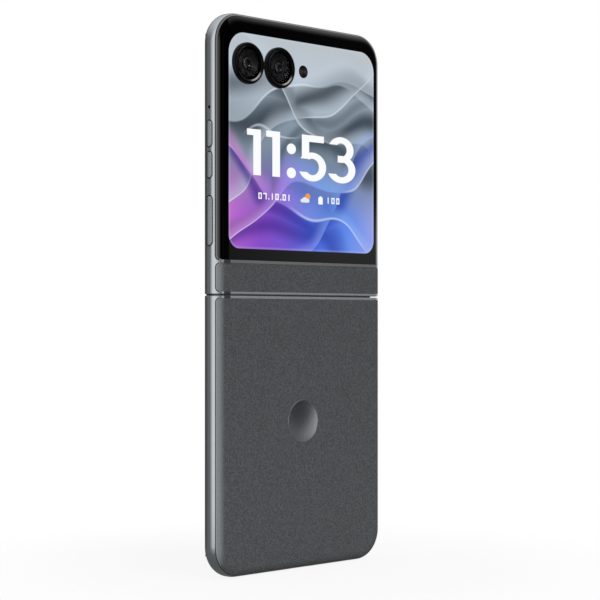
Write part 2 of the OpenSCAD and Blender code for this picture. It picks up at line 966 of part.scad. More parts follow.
module shield_cans() {
    color("silver")
        on_upper() {
            can(column_x + 1, room_x - board_edge - 1, can_start, can_split - 1);
            can(column_x + 1, room_x - board_edge - 1, can_split + 1, board_top);
            can(-room_x + 4, -5, board_top + 3, room_end - 8.95);
        }
}

module upper_battery() {
    color("darkslategray")
        on_upper()
            layer(battery_depth, battery_depth + battery_thick)
                pad(-room_x + battery_gap, column_x - 1.8 * battery_space, battery_start,
                    board_top - battery_space, 1.5);
}

// Thin board behind the keys, with a raised switch for each key
module key_board() {
    color("darkgoldenrod")
        on_upper() {
            translate([key_plate_x - key_plate_thick, power_w - power_length / 2 - 0.65, floor_depth + 0.1])
                cube([key_plate_thick, volume_up_w - power_w + (volume_length + power_length) / 2 + 2.8, 3.4]);
            for (w = [volume_up_w, volume_down_w, power_w])
                translate([0, w, key_depth])
                    across(key_plate_x - 0.01, key_plate_x + 0.12)
                        circle(r = 0.9, $fn = 32);
        }
}

/* ---- keys ---- */

// Key with a flange inside the wall and a rounded front edge
module key(w, length, width)
    translate([0, w, key_depth]) {
        across(key_inner_x, key_outer_x - 0.15)
            slot(length, width);
        across(key_outer_x - 0.16, key_outer_x)
            slot(length - 0.2, width - 0.2);
        across(key_inner_x, key_inner_x + key_flange)
            slot(length + 1, width + 0.8);
    }

module volume_up_key() {
    color("lightslategray") on_upper() key(volume_up_w, volume_length, volume_width);
}

module volume_down_key() {
    color("lightslategray") on_upper() key(volume_down_w, volume_length, volume_width);
}

module power_key() {
    color("lightslategray") on_upper() key(power_w, power_length, power_width);
}

/* ---- inner parts of the lower half ---- */

module lower_battery() {
    color("darkslategray")
        on_lower()
            layer(battery_depth, battery_depth + battery_thick)
                pad(battery_side - room_x, room_x - battery_side, battery_start, lower_battery_end, 1.5);
}

// Flat winding on its magnetic sheet, with a groove between each turn
module charging_coil() {
    coil_front = battery_depth + battery_thick;
    turns = 9;
    pitch = 1.05;
    color("peru")
        on_lower() {
            disc(0, coil_w, coil_d / 2 - 0.4, coil_front, coil_front + 0.15);
            translate([0, coil_w, coil_front + 0.15])
                rotate_extrude()
                    for (i = [0 : turns - 1])
                        translate([coil_d / 2 - 1.6 - i * pitch, -0.01])
                            square([pitch - 0.15, 0.4]);
        }
}

module sub_board() {
    color("seagreen")
        on_lower()
            difference() {
                layer(board_depth, board_back)
                    difference() {
                        union() {
                            pad(board_gap - room_x, sub_board_edge, sub_board_w, room_end - 6.25, 1);
                            pad(-19, sub_board_edge, sub_board_w, room_end - board_gap, 1);
                        }
                        pad(-4.9, 4.9, port_mouth - port_length - 0.3, half_length, 0.3);
                    }
                board_holes(lower_spots);
            }
}

// Stadium tube with a closed back
module port_shell() {
    color("silver")
        on_lower()
            translate([0, port_mouth, body_mid_depth])
                rotate([90, 0, 0])
                    difference() {
                        linear_extrude(height = port_length)
                            slot(port_width + 2 * port_wall, port_height + 2 * port_wall);
                        translate([0, 0, -1])
                            linear_extrude(height = port_length)
                                slot(port_width, port_height);
                    }
}

module port_tongue() {
    color("black")
        on_lower()
            translate([-tongue_width / 2, port_mouth - port_length + 1, body_mid_depth - tongue_thick / 2])
                cube([tongue_width, port_length - 1.9, tongue_thick]);
}

module loudspeaker() {
    color("dimgray")
        on_lower()
            difference() {
                layer(floor_depth + 0.1, seat_depth - 0.5)
                    intersection() {
                        pad(sub_board_edge + 0.7, room_x - 1.2, speaker_w, room_end - 0.3, 1.5);
                        room_plan(0.4);
                    }
                for (i = [0 : speaker_holes - 1])
                    translate([speaker_x + (i - (speaker_holes - 1) / 2) * speaker_hole_pitch, room_end, body_mid_depth])
                        rotate([90, 0, 0])
                            cylinder(d = speaker_hole_d, h = 3, $fn = 24);
            }
}

module vibration_motor() {
    color("silver")
        on_lower()
            layer(floor_depth + 0.1, floor_depth + 3.1)
                pad(14, 14 + motor_size[0], motor_w, motor_w + motor_size[1], 0.5);
}

// Pressed cage around the tray, open to the side
module card_reader() {
    color("silver")
        on_lower()
            difference() {
                translate([-room_x + 0.5, tray_w - tray_length / 2 + 0.2, board_back])
                    cube([tray_reach + 0.4, tray_length - 0.4, tray_thick + 0.8]);
                translate([-room_x - 1, tray_w - tray_length / 2 + 0.4, board_back + 0.15])
                    cube([tray_reach + 1.5, tray_length - 0.8, tray_thick + 0.5]);
            }
}

// Tray with its flush face, its eject hole and a pocket for the card
module card_tray() {
    color("lightslategray")
        on_lower()
            difference() {
                union() {
                    translate([0, tray_w, body_mid_depth])
                        intersection() {
                            across(-half_width, -tray_face_x)
                                slot(tray_length, tray_width);
                            translate([0, -tray_w, -body_mid_depth])
                                body_bar(0.02, 0, back_depth, tray_w - tray_length, half_length - corner_r + 8);
                        }
                    translate([-tray_face_x - 0.1, tray_w - tray_length / 2 + 0.6, board_back + 0.2])
                        cube([tray_reach - 0.6, tray_length - 1.2, tray_thick]);
                }
                layer(board_back + 0.5, back_depth)
                    pad(-tray_face_x + 2, -tray_face_x + 2 + card_length, tray_w - card_width / 2,
                        tray_w + card_width / 2, 0.6);
                translate([0, tray_w - tray_length / 2 + 2, body_mid_depth])
                    across(-half_width - 1, -tray_face_x + 1)
                        circle(d = 0.8, $fn = 24);
            }
}

/* ---- spine of the hinge ---- */

// Section of the spine cover, drawn in length and depth and shrunk by `inset`
module spine_outline(inset) {
    translate([-spine_flat, -2])
        square([2 * spine_flat, 2 + spine_depth - inset]);
    for (side = [-1, 1])
        translate([side * spine_flat, spine_depth - spine_arc_r])
            circle(r = spine_arc_r - inset);
}

module spine_cover() {
    color("slategray")
        on_upper()
            difference() {
                across(-spine_x, spine_x)
                    difference() {
                        intersection() {
                            spine_outline(0);
                            translate([-far, spine_edge_depth])
                                square([2 * far, far]);
                        }
                        spine_outline(spine_wall);
                    }
                both_modules() {
                    notch(upper_slot, slot_width, 0, rail_back);
                    notch(lower_slot, slot_width, 1, rail_back);
                    for (side = [0, 1])
                        notch(gear_start - arm_room, gear_width + 2 * arm_room, side, gear_depth + sync_thick / 2);
                }
            }
}

// Notch in an edge of the spine cover for an arm: side 0 is the upper half's, side 1 the lower's
module notch(start, width, side, depth)
    mirror([0, side, 0])
        translate([start, spine_flat, 0])
            cube([width, far, depth + arm_room]);

// Plug in each open end of the spine cover, with a rounded nub beside the screen
module hinge_end_caps() {
    color("dimgray")
        on_upper()
            for (side = [0, 1])
                mirror([side, 0, 0]) {
                    across(screen_x + 0.1, spine_x - 0.05)
                        difference() {
                            intersection() {
                                spine_outline(spine_wall + 0.02);
                                translate([-cap_half, base_top])
                                    square([2 * cap_half, far]);
                            }
                            for (end = [-1, 1])
                                translate([end * cap_half, base_top])
                                    square([2 * (cap_half - fold_half), 2 * (base_front - base_top)], center = true);
                        }
                    across(screen_x + 0.1, spine_x - 0.05)
                        pad(-0.5, 0.5, -0.3, base_top + 0.1, 0.15);
                }
}

// Ring segment of the curved rail or its groove, about the upper fold axis
module rail_ring(inner, outer, end_angle)
    translate([axis_offset, 0])
        intersection() {
            difference() {
                circle(r = outer);
                circle(r = inner);
            }
            polygon(concat([[0, 0]], [for (a = [0 : end_angle / 3 : end_angle]) far * [cos(a), sin(a)]]));
        }

// What a rail arm needs free around it: the groove and the way down of its foot
module rail_room() {
    rail_ring(rail_inner_r - fit, rail_outer_r + fit, rail_end_angle + 3);
    translate([axis_offset + rail_r - 0.3, -1])
        square([far, 1 + rail_back + arm_room]);
}

module base_outline()
    intersection() {
        union() {
            translate([-base_half, base_front])
                square([2 * base_half, far]);
            translate([-fold_half + 0.05, base_top])
                square([2 * fold_half - 0.1, 1]);
        }
        spine_outline(spine_wall + 0.03);
    }

// Base of one hinge module, from its inner end to its outer end
module hinge_base()
    translate([module_place, 0, 0])
        difference() {
            across(module_start, module_end)
                base_outline();
            across(upper_slot, upper_slot + slot_width)
                rail_room();
            across(lower_slot, lower_slot + slot_width)
                mirror([1, 0])
                    rail_room();
            across(gear_slot, gear_slot + gear_slot_width)
                translate([-far, gear_depth - gear_r - gear_addendum - 0.04])
                    square([2 * far, far]);
            for (w = shaft_places)
                translate([0, w, gear_depth])
                    across(shaft_start - arm_room, shaft_end + arm_room)
                        circle(r = shaft_r + 0.01, $fn = 32);
        }

module hinge_bases() {
    color("silver")
        on_upper()
            for (side = [0, 1])
                mirror([side, 0, 0])
                    hinge_base();
}

// Repeats a piece of a hinge module on both sides of the phone
module both_modules()
    for (side = [0, 1])
        mirror([side, 0, 0])
            translate([module_place, 0, 0])
                children();

// Bridge between the two bases, with a window that lets the cables through
module spine_bridge() {
    bridge_x = module_place + module_start - 0.1;
    color("silver")
        on_upper()
            difference() {
                across(-bridge_x, bridge_x)
                    intersection() {
                        union() {
                            translate([-fold_half + 0.05, base_top])
                                square([2 * fold_half - 0.1, 0.25]);
                            translate([-0.4, base_top])
                                square([0.8, far]);
                        }
                        spine_outline(spine_wall + 0.02);
                    }
                translate([-7, -5, base_top + 0.25])
                    cube([14, far, far]);
            }
}

// Ribbon cable on the floor of the spine cover, below the bridge
module hinge_flex() {
    flex_back = spine_depth - spine_wall - 0.02;
    color("darkgoldenrod")
        on_upper()
            for (x = [-5.6, 0.4])
                translate([x, -spine_flat, flex_back - 0.12])
                    cube([5.2, 2 * spine_flat, 0.12]);
}

module gear_shafts() {
    color("lightgray")
        on_upper()
            both_modules()
                for (w = shaft_places)
                    translate([0, w, gear_depth])
                        across(shaft_start, shaft_end)
                            circle(r = shaft_r, $fn = 32);
}

// Pairs of coned spring discs that press on the ends of the outer gears
module spring_discs() {
    disc_outer = gear_r - 0.05;
    disc_inner = shaft_r + 0.04;
    cone = 0.08;
    color("gainsboro")
        on_upper()
            both_modules()
                for (w = [-outer_gear, outer_gear], i = [0 : spring_count - 1])
                    translate([spring_start + i * spring_pitch, w, gear_depth])
                        rotate([0, 90, 0])
                            rotate_extrude($fn = 32)
                                polygon([
                                    [disc_inner, i % 2 == 0 ? 0 : cone],
                                    [disc_outer, i % 2 == 0 ? cone : 0],
                                    [disc_outer, 0.14 + (i % 2 == 0 ? cone : 0)],
                                    [disc_inner, 0.14 + (i % 2 == 0 ? 0 : cone)]
                                ]);
}

/* ---- moving parts of the hinge ---- */

// Curved rail with its straight foot, drawn in length and depth
module rail_arm_outline() {
    intersection() {
        rail_ring(rail_inner_r, rail_outer_r, rail_end_angle);
        translate([-far, rail_front])
            square([2 * far, far]);
    }
    translate([axis_offset + rail_r - 0.2, rail_front])
        square([rail_arm_reach - rail_r + 0.2, rail_arm_thick]);
}

// Rail arm, with a counterbored hole for its screw
module rail_arm(start)
    difference() {
        across(start + (slot_width - rail_arm_width) / 2, start + (slot_width + rail_arm_width) / 2)
            rail_arm_outline();
        disc(start + slot_width / 2, arm_screw_w, screw_r + screw_gap, 0, 3);
        disc(start + slot_width / 2, arm_screw_w, arm_head_r + screw_gap, 0,
            rail_front + arm_head_height + screw_gap);
    }

module upper_rail_arms() {
    color("gainsboro")
        on_upper()
            both_modules()
                rail_arm(upper_slot);
}

module lower_rail_arms() {
    color("gainsboro")
        on_lower()
            both_modules()
                rail_arm(lower_slot);
}

module upper_screws() {
    color("gray")
        on_upper() {
            both_modules()
                arm_screw(upper_slot);
            board_screws(upper_spots);
        }
}

module lower_screws() {
    color("gray")
        on_lower() {
            both_modules()
                arm_screw(lower_slot);
            board_screws(lower_spots);
        }
}

module arm_screw(start)
    translate([start + slot_width / 2, arm_screw_w, rail_front]) {
        cylinder(r = screw_r, h = arm_screw_length);
        cylinder(r = arm_head_r, h = arm_head_height);
    }

// Flat-headed screws with a cross slot that hold a circuit board on its pillars
module board_screws(spots)
    for (spot = spots) {
        disc(spot[0], spot[1], screw_r, floor_front + 0.2, board_back + 0.1);
        difference() {
            disc(spot[0], spot[1], board_head_r, board_back + screw_gap, board_back + board_head_height);
            for (turn = [0, 90])
                translate([spot[0], spot[1], board_back + board_head_height])
                    rotate(turn)
                        cube([1.1 * board_head_r, 0.22, 0.3], center = true);
        }
    }

// Angle between the start of an involute and its point at radius r, in degrees
function involute(r, base) = sqrt(r * r / (base * base) - 1) * 180 / PI - acos(base / r);

// Gear outline: involute flanks above the base circle and straight roots below it
module gear_outline(turn) {
    base = gear_r * cos(gear_pressure);
    tip = gear_r + gear_addendum;
    root = gear_r - gear_dedendum;
    half_tooth = 90 / gear_teeth - gear_backlash / 4 / gear_r * 180 / PI;
    steps = 3;
    flank = [for (i = [0 : steps]) base + (tip - base) * i / steps];
    spread = [for (r = flank) half_tooth + involute(gear_r, base) - involute(r, base)];
    tooth = concat(
        [[root, -spread[0]]],
        [for (i = [0 : steps]) [flank[i], -spread[i]]],
        [for (i = [steps : -1 : 0]) [flank[i], spread[i]]],
        [[root, spread[0]]]
    );
    polygon([
        for (k = [0 : gear_teeth - 1], p = tooth)
            p[0] * [cos(turn + k * 360 / gear_teeth + p[1]), sin(turn + k * 360 / gear_teeth + p[1])]
    ]);
}

// Gear on its shaft place, bored for the shaft
module gear(w, turn)
    translate([0, w, gear_depth])
        across(gear_start, gear_start + gear_width)
            difference() {
                gear_outline(turn);
                circle(r = shaft_r + shaft_gap, $fn = 32);
            }

// Outer gear with the arm that reaches into the frame's tunnel
module sync_arm(turn)
    translate([0, outer_gear, gear_depth])
        across(gear_start, gear_start + gear_width)
            difference() {
                union() {
                    gear_outline(turn);
                    translate([0, -sync_thick / 2])
                        square([sync_reach, sync_thick]);
                }
                circle(r = shaft_r + shaft_gap, $fn = 32);
            }

module upper_sync_arms() {
    color("gainsboro") on_upper() both_modules() sync_arm(0);
}

module lower_sync_arms() {
    color("gainsboro") on_lower() both_modules() sync_arm(half_pitch);
}

module upper_idler_gears() {
    color("silver") on_upper() both_modules() gear(gear_r, half_pitch);
}

module lower_idler_gears() {
    color("silver") on_upper() both_modules() gear(-gear_r, 0);
}

lower_frame();
upper_frame();
cover_glass();
cover_screen();
upper_back_strip();
lower_back_cover();
metal_disc();
antenna_breaks_upper();
antenna_breaks_lower();
main_camera_ring();
wide_camera_ring();
main_camera_glass();
wide_camera_glass();
main_camera();
wide_camera();
flash_window();
flash_led();
upper_bezel();
lower_bezel();
upper_screen();
fold_screen();
lower_screen();
upper_screen_plate();
lower_screen_plate();
bumper_pads_upper();
bumper_pads_lower();
inner_camera();
earpiece();
earpiece_mesh();
main_board();
shield_cans();
upper_battery();
lower_battery();
charging_coil();
sub_board();
port_shell();
port_tongue();
loudspeaker();
vibration_motor();
card_reader();
card_tray();
volume_up_key();
volume_down_key();
power_key();
key_board();
spine_cover();
hinge_end_caps();
hinge_bases();
spine_bridge();
hinge_flex();
gear_shafts();
spring_discs();
upper_rail_arms();
lower_rail_arms();
upper_sync_arms();
lower_sync_arms();
upper_idler_gears();
lower_idler_gears();
upper_screws();
lower_screws();
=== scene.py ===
import json
import math

import bpy
import numpy as np
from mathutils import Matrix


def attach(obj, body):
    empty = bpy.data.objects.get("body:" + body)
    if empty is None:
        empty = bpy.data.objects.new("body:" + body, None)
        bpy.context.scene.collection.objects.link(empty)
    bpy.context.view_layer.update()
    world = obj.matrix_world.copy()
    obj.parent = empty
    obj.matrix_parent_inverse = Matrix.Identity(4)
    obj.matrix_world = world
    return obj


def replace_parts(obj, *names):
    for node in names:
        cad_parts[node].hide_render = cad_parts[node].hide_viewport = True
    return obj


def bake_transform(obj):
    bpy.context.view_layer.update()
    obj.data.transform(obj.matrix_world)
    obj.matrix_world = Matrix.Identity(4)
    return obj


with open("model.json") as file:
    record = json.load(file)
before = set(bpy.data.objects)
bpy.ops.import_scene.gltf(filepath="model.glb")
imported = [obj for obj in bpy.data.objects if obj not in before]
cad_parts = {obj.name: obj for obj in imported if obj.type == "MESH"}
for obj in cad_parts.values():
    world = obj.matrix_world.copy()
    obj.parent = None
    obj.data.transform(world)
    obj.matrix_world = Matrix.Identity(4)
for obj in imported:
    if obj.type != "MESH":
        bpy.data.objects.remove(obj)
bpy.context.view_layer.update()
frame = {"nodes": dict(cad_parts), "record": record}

# main places in mm: x grows towards the keys, y towards the back and z upwards
frontDepth = 3.675  # how far the inner screen's front lies before y = 0
foldHeight = 85.65
discHeight = 46.3
cameraHeight = 156.1  # of both cameras and of the flash


def row(x, depth, out, half=1):
    # a point of the row frame in metres, from x, the depth behind the inner screen's front and the distance
    # out from the fold line, all in mm; half is 1 on the upper half and -1 on the lower
    return np.stack(np.broadcast_arrays(x, depth - frontDepth, foldHeight + half * out), -1) / 1000


# shader maths

class Wire:
    # an output socket; + - * / on wires and numbers add Math nodes
    def __init__(self, graph, socket):
        self.graph = graph
        self.socket = socket

    def maths(self, operation, *values, clamp=False):
        settings = {"operation": operation, "use_clamp": clamp}
        return self.graph.node("ShaderNodeMath", settings, dict(enumerate(values)))

    def __add__(self, other):
        return self.maths("ADD", self, other)

    __radd__ = __add__

    def __sub__(self, other):
        return self.maths("SUBTRACT", self, other)

    def __rsub__(self, other):
        return self.maths("SUBTRACT", other, self)

    def __mul__(self, other):
        return self.maths("MULTIPLY", self, other)

    __rmul__ = __mul__

    def __truediv__(self, other):
        return self.maths("DIVIDE", self, other)

    def __abs__(self):
        return self.maths("ABSOLUTE", self)

    def larger(self, other):
        return self.maths("MAXIMUM", self, other)

    def smaller(self, other):
        return self.maths("MINIMUM", self, other)

    def above(self, limit):
        # 1 above the limit and 0 below it
        return self.maths("GREATER_THAN", self, limit)

    def below(self, limit):
        return self.maths("LESS_THAN", self, limit)

    def clamped(self):
        return self.maths("MULTIPLY", self, 1.0, clamp=True)

    def sine(self):
        return self.maths("SINE", self)

    def ease(self, low, high):
        # 0 below low, 1 above high and smooth between them
        settings = {"interpolation_type": "SMOOTHSTEP"}
        return self.graph.node("ShaderNodeMapRange", settings, {0: self, 1: low, 2: high, 3: 0.0, 4: 1.0})


class Graph:
    # the nodes of a material or of the world
    def __init__(self, tree):
        self.tree = tree

    def node(self, kind, settings=None, inputs=None, output=0):
        made = self.tree.nodes.new(kind)
        for key, value in (settings or {}).items():
            if key == "stops":
                ramp = made.color_ramp
                while len(ramp.elements) < len(value):
                    ramp.elements.new(0.5)
                for element, (place, code) in zip(ramp.elements, value):
                    element.position = place
                    element.color = tint(code)
            else:
                setattr(made, key, value)
        for key, value in (inputs or {}).items():
            self.feed(made.inputs[key], value)
        return Wire(self, made.outputs[output])

    def feed(self, socket, value):
        if isinstance(value, Wire):
            self.tree.links.new(value.socket, socket)
        else:
            socket.default_value = value

    def coordinates(self, kind="Object"):
        return self.node("ShaderNodeTexCoord", output=kind)

    def axes(self, vector):
        made = self.node("ShaderNodeSeparateXYZ", None, {0: vector}).socket.node
        return [Wire(self, made.outputs[i]) for i in range(3)]

    def millimetres(self):
        # x, y and z in mm
        return [axis * 1000 for axis in self.axes(self.coordinates())]

    def vector(self, x, y, z=0.0):
        return self.node("ShaderNodeCombineXYZ", None, {0: x, 1: y, 2: z})

    def stretched(self, vector, factors):
        return self.node("ShaderNodeVectorMath", {"operation": "MULTIPLY"}, {0: vector, 1: factors})

    def length(self, vector):
        return self.node("ShaderNodeVectorMath", {"operation": "LENGTH"}, {0: vector}, output="Value")

    def reach(self, across, up):
        # distance from a round corner's middle: what is below 0 counts as 0
        return self.length(self.vector(across.larger(0.0), up.larger(0.0)))

    def rays(self):
        # whether a ray is the camera's, glossy, or goes through clear glass
        made = self.node("ShaderNodeLightPath").socket.node
        kinds = ("Camera", "Glossy", "Transmission")
        return [Wire(self, made.outputs["Is " + kind + " Ray"]) for kind in kinds]

    def noise(self, vector, size, detail=2.0, output=0):
        # size is that of the grain, in the vector's unit: metres for plain coordinates
        inputs = {"Vector": vector, "Scale": 1 / size, "Detail": detail}
        return self.node("ShaderNodeTexNoise", None, inputs, output)

    def cells(self, vector, size, feature="F1"):
        return self.node("ShaderNodeTexVoronoi", {"feature": feature}, {"Vector": vector, "Scale": 1 / size})

    def ramp(self, share, stops):
        # stops are pairs of a place from 0 to 1 and a web colour
        return self.node("ShaderNodeValToRGB", {"stops": stops}, {0: share})

    def mix(self, share, first, second):
        return self.node("ShaderNodeMix", {"data_type": "RGBA"}, {0: share, 6: first, 7: second}, output=2)


class Finish(Graph):
    # a material: its principled shader and the nodes that feed it
    def __init__(self, name, colour=None, **sockets):
        self.material = bpy.data.materials.new(name)
        self.material.use_nodes = True
        super().__init__(self.material.node_tree)
        self.shader = next(n for n in self.tree.nodes if n.type == "BSDF_PRINCIPLED")
        if colour is not None:
            self.set("Base Color", tint(colour))
        for socket, value in sockets.items():
            self.set(socket.replace("_", " "), value)

    def set(self, socket, value):
        self.feed(self.shader.inputs[socket], value)

    def bump(self, height, depth, strength=1.0):
        # depth in metres
        inputs = {"Strength": strength, "Distance": depth, "Height": height}
        self.set("Normal", self.node("ShaderNodeBump", None, inputs))


def tint(code):
    # a web colour as linear values
    parts = [int(code[i:i + 2], 16) / 255 for i in (0, 2, 4)]
    return [c / 12.92 if c <= 0.04045 else ((c + 0.055) / 1.055) ** 2.4 for c in parts] + [1.0]


def largest(layers):
    # the largest of several wires at each point
    most = layers[0]
    for layer in layers[1:]:
        most = most.larger(layer)
    return most


def dress(slot, finish):
    # gives every solid of one material slot its finish
    for entry in frame["record"]["subparts"]:
        if entry["material_slot"] == slot:
            materials = frame["nodes"][entry["node"]].data.materials
            materials.clear()
            materials.append(finish.material)
    return finish


# frame metal, keys and steel

blasting = {"pit": 0.00022, "cloud": 0.012}  # sizes in metres


def pitted(made, rough):
    # the fine pits of bead blasting in the gloss and in the relief
    grain = made.noise(made.coordinates(), blasting["pit"], 1.0)
    made.set("Roughness", grain * 0.12 + (rough - 0.06))
    made.bump(grain, 0.000004, 0.3)
    return grain


def blasted(name, dark, light, rough):
    # bead-blasted metal: a fine pitted grain and faint clouds in the colour
    made = Finish(name, Metallic=1.0)
    grain = pitted(made, rough)
    cloud = made.noise(made.coordinates(), blasting["cloud"])
    made.set("Base Color", made.mix(cloud * 0.5 + grain * 0.5, tint(dark), tint(light)))
    return made


def keyMetal():
    # the frame's metal, but duller, and with painted shade that darkens it towards the front
    made = Finish("keyMetal", Metallic=0.55)
    x, y, z = made.millimetres()
    light = made.mix(pitted(made, 0.27), tint("b4babe"), tint("c2c8cb"))
    # painted shade: darker towards the front
    made.set("Base Color", made.mix(y.ease(-1.2, -0.1), tint("4c5053"), light))
    return made


def brushed(name, dark, light, rough, along):
    # long scratches: noise stretched along one axis
    made = Finish(name, Metallic=1.0)
    factors = [1.0, 1.0, 1.0]
    factors["XYZ".index(along)] = 0.03
    streak = made.noise(made.stretched(made.coordinates(), factors), 0.00025)
    made.set("Base Color", made.mix(streak, tint(dark), tint(light)))
    made.set("Roughness", streak * 0.2 + (rough - 0.1))
    made.bump(streak, 0.00001, 0.4)
    return made


def moulded(name, dark, light, rough, grain=0.0003):
    # plastic or rubber with a fine spark-eroded grain
    made = Finish(name)
    speck = made.noise(made.coordinates(), grain, 3.0)
    cloud = made.noise(made.coordinates(), 0.008)
    made.set("Base Color", made.mix(speck * 0.6 + cloud * 0.4, tint(dark), tint(light)))
    made.set("Roughness", speck * 0.16 + (rough - 0.08))
    made.bump(speck, 0.000012, 0.6)
    return made


dress("key_metal", keyMetal())
dress("spine_metal", blasted("spineMetal", "a2a8ac", "afb5b9", 0.32))
dress("plate_steel", brushed("plateSteel", "b6b8ba", "cacbcd", 0.34, "Z"))
dress("can_steel", brushed("canSteel", "bfc0c0", "d2d2d1", 0.3, "X"))
dress("port_steel", brushed("portSteel", "aeb0b2", "c2c3c5", 0.28, "Z"))
dress("hinge_steel", brushed("hingeSteel", "a4a7aa", "bcbfc2", 0.3, "X"))
dress("screw_steel", brushed("screwSteel", "85878a", "9a9c9f", 0.35, "Y"))
dress("mesh_steel", blasted("meshSteel", "4b4d50", "5d5f62", 0.4))
dress("break_plastic", moulded("breakPlastic", "2b2c2e", "343638", 0.5))
dress("bezel_plastic", moulded("bezelPlastic", "101112", "191a1b", 0.42))
rubber = dress("pad_rubber", moulded("padRubber", "1a1b1c", "242526", 0.75))
dress("module_black", moulded("moduleBlack", "121315", "1d1e20", 0.5))
dress("port_black", moulded("portBlack", "0c0c0d", "161617", 0.45))
dress("cap_plastic", moulded("capPlastic", "26272a", "303134", 0.45))
dress("led_phosphor", moulded("ledPhosphor", "c9b23c", "dcc75a", 0.6, grain=0.0002))
print("metals and plastics ready")


# boards, batteries, coil and ribbon cables

def circuit():
    # solder mask over tracks: two sets of thin lines, broken up by cells
    made = Finish("boardGreen", Coat_Weight=0.4, Coat_Roughness=0.15)
    x, y, z = made.millimetres()
    lines = ((x * 6.3).sine() * (z * 5.2).sine()).ease(0.0, 0.25)
    share = lines * made.cells(made.coordinates(), 0.003).ease(0.2, 0.5)
    made.set("Base Color", made.mix(share, tint("0f4a33"), tint("1d6a48")))
    made.set("Roughness", share * 0.15 + 0.35)
    made.bump(share, 0.00004)
    return made


def wrapped():
    # matt battery foil, slightly quilted
    made = Finish("batteryWrap")
    swell = made.noise(made.coordinates(), 0.009, 3.0)
    fine = made.noise(made.coordinates(), 0.0004)
    made.set("Base Color", made.mix(swell, tint("1c1d1f"), tint("2a2c2e")))
    made.set("Roughness", fine * 0.2 + 0.38)
    made.bump(swell + fine * 0.1, 0.0002, 0.5)
    return made


def wound():
    # enamelled wire, a little uneven in colour
    made = Finish("copperWire", Metallic=1.0)
    streak = made.noise(made.coordinates(), 0.0006, 3.0)
    made.set("Base Color", made.mix(streak, tint("b9693c"), tint("d98e5c")))
    made.set("Roughness", streak * 0.2 + 0.22)
    return made


def ribbonCable():
    # amber film over fine parallel tracks
    made = Finish("flexAmber", Coat_Weight=0.5, Coat_Roughness=0.1)
    x, y, z = made.millimetres()
    track = ((x + z) * 9).sine().ease(-0.2, 0.5)
    made.set("Base Color", made.mix(track, tint("8c531f"), tint("b8742f")))
    made.set("Roughness", track * 0.1 + 0.3)
    return made


dress("board_green", circuit())
dress("battery_wrap", wrapped())
dress("copper", wound())
dress("flex_amber", ribbonCable())


# leather-like panels

leatherLook = {
    "cell": 0.00055, "speck": 0.00042, "cloud": 0.02,  # sizes in metres
    # the rim highlight is a painted highlight: the colour and the span, in mm, of a lighter band on the
    # rounding on the keys' side
    "crease": "3a3c3e", "dark": "47494b", "light": "5e6063", "veil": "54575a", "rimHighlight": "9a9fa2",
    "rimHighlightFrom": 33.5, "rimHighlightTo": 37.2,  # the rounding on the keys' side, in mm
}


def grained(made):
    # fine mottled grain: small cells with dark creases, lighter and darker specks, broad faint clouds, and a
    # painted highlight that lightens the rounding on the keys' side; gives colour, roughness and relief
    look = leatherLook
    place = made.coordinates()
    pebble = made.cells(place, look["cell"], "DISTANCE_TO_EDGE").ease(0.0, 0.25)
    speck = made.noise(place, look["speck"], 3.0).ease(0.38, 0.62)
    cloud = made.noise(place, look["cloud"])
    tone = made.mix(speck, tint(look["dark"]), tint(look["light"]))
    tone = made.mix(cloud * 0.35, tone, tint(look["veil"]))
    tone = made.mix(pebble * 0.4 + 0.6, tint(look["crease"]), tone)
    x, y, z = made.millimetres()
    # painted highlight along the rounding on the keys' side
    tone = made.mix(x.ease(look["rimHighlightFrom"], look["rimHighlightTo"]) * 0.75, tone, tint(look["rimHighlight"]))
    return tone, 0.76 - speck * 0.12, pebble * 0.7 + speck * 0.5


def leatherPanel():
    made = Finish("leather", Specular_IOR_Level=0.25)
    tone, rough, relief = grained(made)
    made.set("Base Color", tone)
    made.set("Roughness", rough)
    made.bump(relief, 0.00005, 0.7)
    return made


dress("leather", leatherPanel())


# the frame, with the edges of the panels that wrap onto it

# all in mm: half width and corner radius of the outline; width of the rim onto which the panels wrap; where a
# panel ends, which is at the slit or at the rib (its middle and half width), as distances from the fold, and
# at the seam, as its y; radius of a panel's corners
shell = {"half": 37.0, "corner": 9.6, "rim": 1.3, "slit": 1.0, "rib": 10.05, "ribHalf": 0.55, "seam": 1.9,
         "round": 1.3}
ribMiddle = foldHeight + shell["rib"]
ribFoot = ribMiddle - 0.6
backFace = (2.9, 3.1)  # y above which a surface faces the back, in mm

# in mm: height, length and width of each key, y of their middles, and place of the painted shade line round
# them
keys = {"power": (107.9, 14.7, 2.3), "volumeDown": (124.7, 7.7, 2.0), "volumeUp": (134.1, 7.7, 2.0)}
keyMiddle, keyLine = -0.35, 0.22


def keyGapShade(made, x, y, z):
    # painted shade: a dark line round each key, in the gap to the frame; the distance from its outline, a
    # rectangle with half-round ends
    lines = []
    for height, length, width in keys.values():
        along = (abs(z - height) - (length - width) / 2).larger(0.0)
        edge = made.length(made.vector(along, y - keyMiddle)) - (width / 2 + keyLine)
        lines.append(1 - abs(edge).ease(0.1, 0.24))
    return largest(lines) * x.ease(36.4, 36.6)


